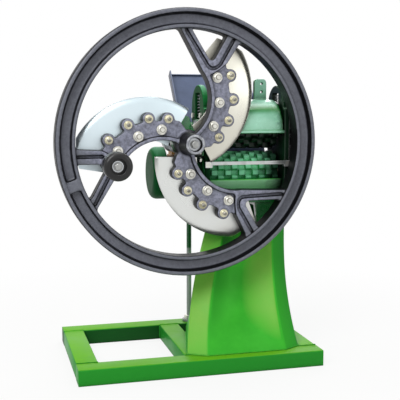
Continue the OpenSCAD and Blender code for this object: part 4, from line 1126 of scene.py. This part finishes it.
@dataclass
class Pedestal:
    """Flared pedestal folded from plate; millimetres about the shaft axis."""

    finish: Finishes
    top: tuple[float, float, float, float] = (62.0, 266.0, 46.0, 160.0)
    foot: tuple[float, float, float, float] = (-12.0, 264.0, -62.0, 200.0)
    low_z: float = -487.0
    high_z: float = -205.0
    flange_w: float = 42.0
    sweep: float = 26.0
    hollow: float = 26.0
    hollow_steps: int = 16
    flat_from: float = 0.7
    back_in: float = 55.0
    flare: float = 2.5
    fold_r: float = 5.0
    fold_share: float = 0.45
    rows: int = 40
    smooth_deg: float = 38.0
    weld: WeldBead = WeldBead()

    def build(self) -> None:
        """Build the folded skin and its foot weld."""
        dress(self.skin(), self.finish.plate, Body.FRAME, ["pedestal"])
        self.weld.lay("pedestal_weld_bead", self.foot_joint(), self.finish.plate)

    def outline(self, share: float) -> list[Flat]:
        """Give the plan at a share of the height below the top.

        Args:
            share: 0 at the top, 1 at the foot.

        Returns:
            Corners of the plan, rounded at the folds.
        """
        x0, x1, y0, y1 = (a + (b - a) * share for a, b in zip(self.top, self.foot))
        y0 = self.top[2] + (self.foot[2] - self.top[2]) * share ** self.flare
        xa, xb = x0 + self.flange_w, x1 - self.flange_w
        hollow = self.hollow * (1 - max(0.0, (share - self.flat_from) / (1 - self.flat_from)) ** 2)
        steps = self.hollow_steps
        front = [(xa + (xb - xa) * i / steps, y0 + hollow * math.sin(math.pi * i / steps))
                 for i in range(steps + 1)]
        plan = [(x0 + self.back_in, y1), (x0, y0 + self.sweep), *front, (x1, y0 + self.sweep), (x1, y1)]
        sharp = {0, 1, 2, len(plan) - 3, len(plan) - 2, len(plan) - 1}
        return [p for i in range(len(plan)) for p in (self.fold(plan, i) if i in sharp else [plan[i]])]

    def fold(self, plan: Sequence[Flat], i: int) -> list[Flat]:
        """Round one corner of a plan.

        Args:
            plan: Corners of the plan.
            i: Number of the corner.

        Returns:
            Points along the rounded corner.
        """
        here = Vector(plan[i])
        before, after = Vector(plan[i - 1]) - here, Vector(plan[(i + 1) % len(plan)]) - here
        cut = min(self.fold_r, before.length * self.fold_share, after.length * self.fold_share)
        start, end = here + before.normalized() * cut, here + after.normalized() * cut
        return [
            tuple(start * (1 - s) ** 2 + here * 2 * s * (1 - s) + end * s ** 2)
            for s in (0.0, 0.25, 0.5, 0.75, 1.0)
        ]

    def foot_joint(self) -> list[Place]:
        """Find the ripples round the foot, where a rail lies under it.

        Returns:
            Foot, direction and size share of each ripple.
        """
        beds = [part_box(node) for node in RAILS]
        plan = [at(x, y, self.low_z) for x, y in self.outline(1.0)]
        places = []
        for start, end in zip(plan, plan[1:] + plan[:1]):
            side = end - start
            out = Vector((-side.y, side.x, 0)).normalized()
            count = max(1, round(side.length / (self.weld.step_mm * MM)))
            for i in range(count):
                spot = start + side * (i / count)
                if any(low.x < spot.x < high.x and low.y < spot.y < high.y for low, high in beds):
                    places.append((spot, (out + UP).normalized(), self.weld.swell(len(places))))
        return places

    def skin(self) -> Object:
        """Loft the plans into one closed skin.

        Returns:
            The pedestal.
        """
        shape = bmesh.new()
        rings = []
        for row in range(self.rows + 1):
            z = self.low_z + (self.high_z - self.low_z) * row / self.rows
            rings.append([shape.verts.new(at(x, y, z)) for x, y in self.outline(1 - row / self.rows)])
        bridge(shape, rings)
        bmesh.ops.recalc_face_normals(shape, faces=shape.faces)
        return from_bmesh("pedestal_skin", shape, self.smooth_deg)


@dataclass
class FeedHead:
    """Castings round the rollers, with their bearings, case and bolts."""

    finish: Finishes
    voxel_mm: float = 1.7
    cheek_x: Flat = (57.0, 257.0)
    cheek_bolt_y: Flat = (45.0, 157.0)
    cheek_bolt_z: float = -146.0
    hood_x: Flat = (50.0, 264.0)
    hood_bolt_y: Flat = (70.0, 142.0)
    hood_bolt_up: float = 31.0
    case_x: float = 44.0
    bearing_bolt_y: Flat = (52.0, 150.0)
    bearing_bolt_z: Flat = (-22.0, 36.0)
    case_bolt_r: float = 67.0
    case_bolt_deg: tuple[float, ...] = (150.0, -152.0, -130.0, -50.0)
    spring_r: float = 5.0
    wire_r: float = 1.2
    wire_sides: int = 10
    spring_low: float = 53.0
    spring_high: float = 116.0
    spring_turns: int = 8
    turn_steps: int = 24
    lift_m: float = 0.012

    def build(self) -> None:
        """Build the castings, plates, bolts and springs."""
        finish = self.finish
        # the case and the near cheek take a darker copy of the paint as painted shade, the far cheek a
        # near-black one, and the chin a paler one as painted light
        for coat, nodes in (
            (finish.head, ("hood", "front_bearing", "rear_bearing", "neck")),
            (finish.bowl, ("chin",)),
            (finish.shaded, ("gear_case", "left_cheek")),
            (finish.greased, ("right_cheek",)),
        ):
            for node in nodes:
                dress(moulded(node, self.voxel_mm), coat, Body.FRAME, [node])
        for node, edge_mm, coat, body, slot in (
            ("bed_plate", 1.2, finish.head, Body.FRAME, Slot.HEAD),
            ("oil_cups", 1.2, finish.head, Body.FRAME, Slot.HEAD),
            ("upper_block_left", 0.8, finish.head, Body.CARRIAGE, Slot.HEAD),
            ("upper_block_right", 0.8, finish.head, Body.CARRIAGE, Slot.HEAD),
            ("shear_plate", 0.4, finish.shear, Body.FRAME, Slot.STEEL),
        ):
            dress(eased(node, edge_mm), coat, body, [node])
        paint("shear_bolts", finish.zinc)
        for node in ("main_bushes", "lower_bushes"):
            paint(node, finish.bronze)
        self.bolts()
        self.springs()

    def bolts(self) -> None:
        """Set the four families of head bolts."""
        cheek = [(at(x, y, self.cheek_bolt_z), DOWN, 1.0) for x in self.cheek_x for y in self.cheek_bolt_y]
        hood = [(at(x, y, UPPER_Z + self.hood_bolt_up), side, 1.0)
                for x, side in zip(self.hood_x, (LEFT, RIGHT)) for y in self.hood_bolt_y]
        bearing = [(at(self.case_x, y, z), LEFT, 1.0) for y in self.bearing_bolt_y for z in self.bearing_bolt_z]
        case = [(at(self.case_x, ROLLER_Y + y, LOWER_Z + z), LEFT, 1.0)
                for y, z in (ring(self.case_bolt_r, a) for a in self.case_bolt_deg)]
        for name, places, form in (
            ("cheek_bolts", cheek, Fastener(10.4, 5)),
            ("hood_bolts", hood, Fastener(12.4, 5)),
            ("bearing_bolts", bearing, Fastener(15.5, 6)),
            ("case_bolts", case, Fastener(11.7, 5)),
        ):
            fasten(name + "_heads", form, places, self.finish.zinc, Body.FRAME, [name])

    def springs(self) -> None:
        """Wind the two pressure springs."""
        shape = bmesh.new()
        steps = self.turn_steps * self.spring_turns
        climb = self.spring_high - self.spring_low - 4 * self.wire_r
        for x in self.cheek_x:
            path = [at(x + self.spring_r, ROLLER_Y, self.spring_low + self.wire_r)]
            for i in range(steps + 1):
                dx, dy = ring(self.spring_r, 360 * self.spring_turns * i / steps)
                path.append(at(x + dx, ROLLER_Y + dy, self.spring_low + 2 * self.wire_r + climb * i / steps))
            path.append(at(x + self.spring_r, ROLLER_Y, self.spring_high - self.wire_r))
            tube(path, self.wire_r, self.wire_sides, shape)
        made = dress(from_bmesh("pressure_springs_wound", shape), self.finish.spring, Body.FRAME,
                     ["pressure_springs"])
        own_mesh(made)


@dataclass
class FeedChute:
    """Sheet chute behind the rollers, its angle and its stay."""

    finish: Finishes
    slope_deg: float = 50.0
    foot: Flat = (170.0, -31.0)
    sheet_t: float = 3.0
    angle_t: float = 5.0
    rivet_x: tuple[float, ...] = (57.6, 110.8, 167.8, 228.6)
    rivet_up: float = 28.0
    rivet_r: float = 5.5
    rivet_h: float = 2.6
    rivet_sink: float = 0.4
    rivet_steps: int = 6
    under_share: float = 0.9
    sheet_edge_mm: float = 0.7
    angle_edge_mm: float = 1.0
    rod_edge_mm: float = 0.8
    nut_at: Point = (66.0, 255.0, -481.0)

    def build(self) -> None:
        """Build the sheet, the angle, the rivets and the stay."""
        finish = self.finish
        dress(eased("chute", self.sheet_edge_mm), finish.sheet, Body.FRAME, ["chute"])
        bracket = eased("chute_bracket", self.angle_edge_mm)
        dress(bracket, finish.head, Body.FRAME, ["chute_bracket"])
        dress(self.rivets(), finish.zinc, Body.FRAME, ["chute_rivets"])
        dress(eased("stay_rod", self.rod_edge_mm), finish.rod, Body.FRAME, ["stay_rod"])
        nut = [(at(*self.nut_at), UP, 1.0)]
        fasten("stay_nut", Fastener(22.5, 10), nut, finish.zinc, Body.FRAME, ["stay_nuts"])

    def rivets(self) -> Object:
        """Set domed rivets through the sheet and the angle.

        Returns:
            The rivets, heads on both sides.
        """
        turn = math.radians(self.slope_deg)
        up = Vector((0, math.cos(turn), math.sin(turn)))
        off = Vector((0, -math.sin(turn), math.cos(turn)))
        places = []
        for x in self.rivet_x:
            foot = at(x, *self.foot) + up * self.rivet_up * MM
            places += [(foot + off * self.sheet_t * MM, off, 1.0),
                       (foot - off * self.angle_t * MM, -off, self.under_share)]
        shape = bmesh.new()
        dome = [(self.rivet_r * math.cos(a), self.rivet_h * math.sin(a))
                for a in (math.pi / 2 * i / self.rivet_steps for i in range(self.rivet_steps))]
        skirt = [(0, -self.rivet_sink), (self.rivet_r, -self.rivet_sink)]
        Fastener.turned(shape, [*skirt, *dome, (0, self.rivet_h)])
        return REPEAT.set_out("chute_rivet_heads", to_mesh("rivet", shape), places, self.finish.zinc)


@dataclass
class Flywheel:
    """Knife flywheel: rim, scalloped forked arms, knives and their fastenings."""

    finish: Finishes
    voxel_mm: float = 2.4
    smoothing: int = 5
    keep: float = 0.6
    knife_edge_mm: float = 0.3
    plate_y: float = -5.0
    hub_y: float = -58.0
    clamps: tuple[Flat, ...] = ((68, 150), (73, 93), (59, 39))
    adjusters: tuple[Flat, ...] = ((100, 155), (107, 100), (95, 52), (72, 13))

    def build(self) -> None:
        """Build the casting, the knives and the fastenings."""
        finish = self.finish
        wheel = moulded("flywheel", self.voxel_mm, self.smoothing, self.keep)
        dress(wheel, finish.iron, Body.ROTOR, ["flywheel"])
        for k, steel in enumerate(finish.knives):
            node = f"knife_{k + 1}"
            dress(eased(node, self.knife_edge_mm, segments=1), steel, Body.ROTOR, [node])
        paint("clamp_bolts", finish.thread)
        clamps, adjusters = self.spots(self.clamps), self.spots(self.adjusters)
        hub = [(at(0, self.hub_y, 0), FRONT, 1.0)]
        nut, screw = {"height": 8, "washer_t": 2}, {"height": 6, "washer_t": 2}
        for name, form, places, metal, nodes in (
            ("clamp_nut_sets", Fastener(17.7, washer_r=12, **nut), clamps, finish.zinc, ["clamp_nuts"]),
            ("clamp_thread_ends", Fastener(0, stud_r=6, stud_l=4, **nut), clamps, finish.zinc, []),
            ("screw_thread_ends", Fastener(0, stud_r=4, stud_l=8, **screw), adjusters, finish.thread, []),
            ("adjusting_screw_sets", Fastener(13.9, washer_r=9.6, **screw), adjusters, finish.yellow,
             ["adjusting_screws"]),
            ("hub_bolt_set", Fastener(14.6, 8, washer_r=9.5, washer_t=2.5), hub, finish.dull, ["hub_bolt"]),
        ):
            fasten(name, form, places, metal, Body.ROTOR, nodes)

    def spots(self, places: Sequence[Flat]) -> list[Place]:
        """Repeat places of one arm on every arm; each arm carries a knife.

        Args:
            places: Right and up of each place on the first arm.

        Returns:
            Foot, direction and size share of each place.
        """
        arms = len(self.finish.knives)
        turns = [Matrix.Rotation(math.radians(-360 / arms * k), 3, "Y") for k in range(arms)]
        return [(SHAFT + turn @ (Vector((x, self.plate_y, z)) * MM), FRONT, 1.0)
                for turn in turns for x, z in places]


@dataclass
class Crank:
    """Crank pin on one arm, with its loose grip."""

    finish: Finishes
    radius: float = 188.0
    angle: float = 192.7
    back_y: float = -24.4
    length: float = 113.0
    grip_r: float = 31.0
    bore_r: float = 12.05
    sink_r: float = 17.0
    sink: float = 14.0
    nose_r: float = 9.0
    heel: float = 3.0
    lip: float = 1.2
    slip: float = 0.4
    sides: int = 96
    skin_steps: int = 40
    nose_steps: int = 6
    heel_share: float = 0.54
    swell_share: float = 0.46
    full_at: float = 0.88
    grooves: Flat = (0.74, 0.86)
    groove_depth: float = 0.7
    groove_share: float = 0.012

    def build(self) -> None:
        """Build the spindle, the grip and its bolt."""
        x, z = ring(self.radius, self.angle)
        paint("crank_spindle", self.finish.shaft)
        grip = lathe("grip_moulding", self.profile(), at(x, self.back_y, z), FRONT, self.sides)
        dress(grip, self.finish.plastic, Body.GRIP, ["grip"])
        seat = at(x, self.back_y - self.length + self.sink - self.slip, z)
        bolt = Fastener(13.2, 6.5, washer_r=9.5, washer_t=2.5)
        fasten("grip_bolt_set", bolt, [(seat, FRONT, 1.0)], self.finish.dull, Body.ROTOR, ["grip_bolt"])

    def profile(self) -> list[Flat]:
        """Give the grip's section: a swelling body with two shallow grip grooves.

        Returns:
            Closed loop of radius and distance from the wheel end.
        """
        skin = []
        for i in range(self.skin_steps + 1):
            share = i / self.skin_steps
            rise = math.sin(math.pi / 2 * min(1.0, share / self.full_at))
            swell = self.grip_r * (self.heel_share + self.swell_share * rise)
            groove = sum(self.groove_depth * math.exp(-((share - s) / self.groove_share) ** 2)
                         for s in self.grooves)
            skin.append((swell - groove, self.heel + (self.length - self.heel - self.nose_r) * share))
        nose = [(self.grip_r + self.nose_r * (math.cos(a) - 1), self.length + self.nose_r * (math.sin(a) - 1))
                for a in (math.pi / (2 * self.nose_steps) * i for i in range(1, self.nose_steps + 1))]
        mouth = [(self.sink_r + self.lip, self.length), (self.sink_r, self.length - self.lip),
                 (self.sink_r, self.length - self.sink), (self.bore_r, self.length - self.sink)]
        loop = [(self.bore_r, 0.0), (skin[0][0] - self.heel, 0.0), *skin, *nose, *mouth]
        return [*loop, loop[0]]


@dataclass
class FeedDrive:
    """Rollers, gears, shafts and worm."""

    finish: Finishes
    tooth_edge_mm: float = 1.0
    gear_edge_mm: float = 0.8

    def build(self) -> None:
        """Break the teeth's edges and finish the shafts."""
        finish = self.finish
        # the lower roller takes a paler copy with painted highlights, the upper roller the near-black copy as
        # painted shade
        for side, body, coat in (("lower", Body.LOWER, finish.teeth), ("upper", Body.UPPER, finish.greased)):
            dress(eased(f"{side}_roller", self.tooth_edge_mm), coat, body, [f"{side}_roller"])
            dress(eased(f"{side}_gear", self.gear_edge_mm), finish.gear, body, [f"{side}_gear"])
            paint(f"{side}_shaft", finish.roller_shaft)
        paint("worm_wheel", finish.bronze)
        for node in ("main_shaft", "shaft_collar", "hub_key", "worm"):
            paint(node, finish.shaft)


@dataclass
class Studio:
    """Floor, lights and camera of the photograph."""

    eye_mm: Point = (-476.7, -1911.8, 610.7)
    yaw_deg: float = 15.0
    pitch_deg: float = 6.6
    focal_px: float = 813.9
    frame_px: float = 400.0
    sensor_mm: float = 36.0
    aim: Point = (0.0, 0.0, 0.42)
    soft: float = 0.26
    floor_m: float = 9.0
    fade_m: Flat = (0.5, 1.2)
    near_white: float = 0.86
    sight_m: float = 60.0
    # name, place and side in metres, power in watts
    lamps: tuple[tuple[str, Point, float, float], ...] = (
        ("key", (-1.5, -1.7, 2.2), 1.5, 46.0),
        ("fill", (1.7, -1.8, 1.2), 1.4, 7.0),
        ("top", (0.1, 0.2, 2.6), 1.8, 24.0),
        ("rim", (0.9, 1.9, 1.6), 1.2, 14.0),
    )

    def build(self) -> None:
        """Set the floor, the world, the lamps and the camera."""
        scene = bpy.context.scene
        scene.view_settings.view_transform = "Standard"
        self.floor()
        self.world(scene)
        for lamp in self.lamps:
            self.hang(*lamp)
        self.camera(scene)

    def white_to_eye(self, add: AddNode) -> Node:
        """Give 1 for rays from the camera, a mirror or glass, and 0 for others.

        Args:
            add: Adds a node to the tree.

        Returns:
            Node with the share.
        """
        path = add("LightPath").outputs
        shiny = add("Math", {0: path["Is Glossy Ray"], 1: path["Is Transmission Ray"]}, operation="MAXIMUM")
        return add("Math", {0: path["Is Camera Ray"], 1: shiny}, operation="MAXIMUM")

    def floor(self) -> None:
        """Lay the pale floor, which keeps the object's shadow."""
        shape = bmesh.new()
        bmesh.ops.create_grid(shape, x_segments=8, y_segments=8, size=self.floor_m)
        made = from_bmesh("studio_floor", shape)
        material, add, where = Finish("studio_floor_white").start()
        matte = add("BsdfDiffuse", {"Color": linear("#f1f1ef")})
        glow = add("Emission", {"Color": WHITE, "Strength": 1.0})
        away = add("VectorMath", {0: where}, operation="LENGTH")
        fade = add("MapRange", {"Value": away, "From Min": self.fade_m[0], "From Max": self.fade_m[1],
                                "To Min": self.near_white})
        share = add("Math", {0: self.white_to_eye(add), 1: fade}, operation="MULTIPLY")
        add("OutputMaterial", {"Surface": add("MixShader", {0: share, 1: matte, 2: glow})})
        made.data.materials.append(material)

    def world(self, scene: Scene) -> None:
        """Set a soft grey light that the eye sees as white.

        Args:
            scene: Scene that gets the world.
        """
        world = bpy.data.worlds.new("studio_world")
        scene.world = world
        world.use_nodes = True
        world.node_tree.nodes.clear()
        add = partial(add_node, world.node_tree)
        soft, white = (add("Background", {"Color": WHITE, "Strength": power}) for power in (self.soft, 1.0))
        add("OutputWorld", {"Surface": add("MixShader", {0: self.white_to_eye(add), 1: soft, 2: white})})

    def hang(self, name: str, place: Point, size: float, power: float) -> None:
        """Hang one soft square lamp, turned to the middle of the machine.

        Args:
            name: Name of the lamp.
            place: Where it hangs, in metres.
            size: Side of the lamp, in metres.
            power: Its power in watts.
        """
        data = bpy.data.lights.new(name, "AREA")
        data.energy = power
        data.size = size
        made = bpy.data.objects.new(name, data)
        made.location = place
        made.rotation_euler = (Vector(self.aim) - Vector(place)).to_track_quat("-Z", "Y").to_euler()
        bpy.context.scene.collection.objects.link(made)

    def camera(self, scene: Scene) -> None:
        """Stand the camera where the photograph was taken from.

        Args:
            scene: Scene that gets the camera.
        """
        data = bpy.data.cameras.new("photo_camera")
        data.sensor_width = self.sensor_mm
        data.lens = self.focal_px / self.frame_px * data.sensor_width
        data.clip_end = self.sight_m
        made = bpy.data.objects.new("photo_camera", data)
        made.location = Vector(self.eye_mm) * MM
        made.rotation_euler = (math.radians(90 - self.pitch_deg), 0, -math.radians(self.yaw_deg))
        scene.collection.objects.link(made)
        scene.camera = made


def main() -> None:
    """Build the machine piece by piece."""
    logging.basicConfig(level=logging.INFO, format="%(message)s")
    finish = Finishes.mix()
    for part in (BaseFrame, Pedestal, FeedHead, FeedChute, Flywheel, Crank, FeedDrive):
        LOG.info("building %s", part.__name__)
        part(finish).build()
    Studio().build()


if __name__ == "__main__":
    main()
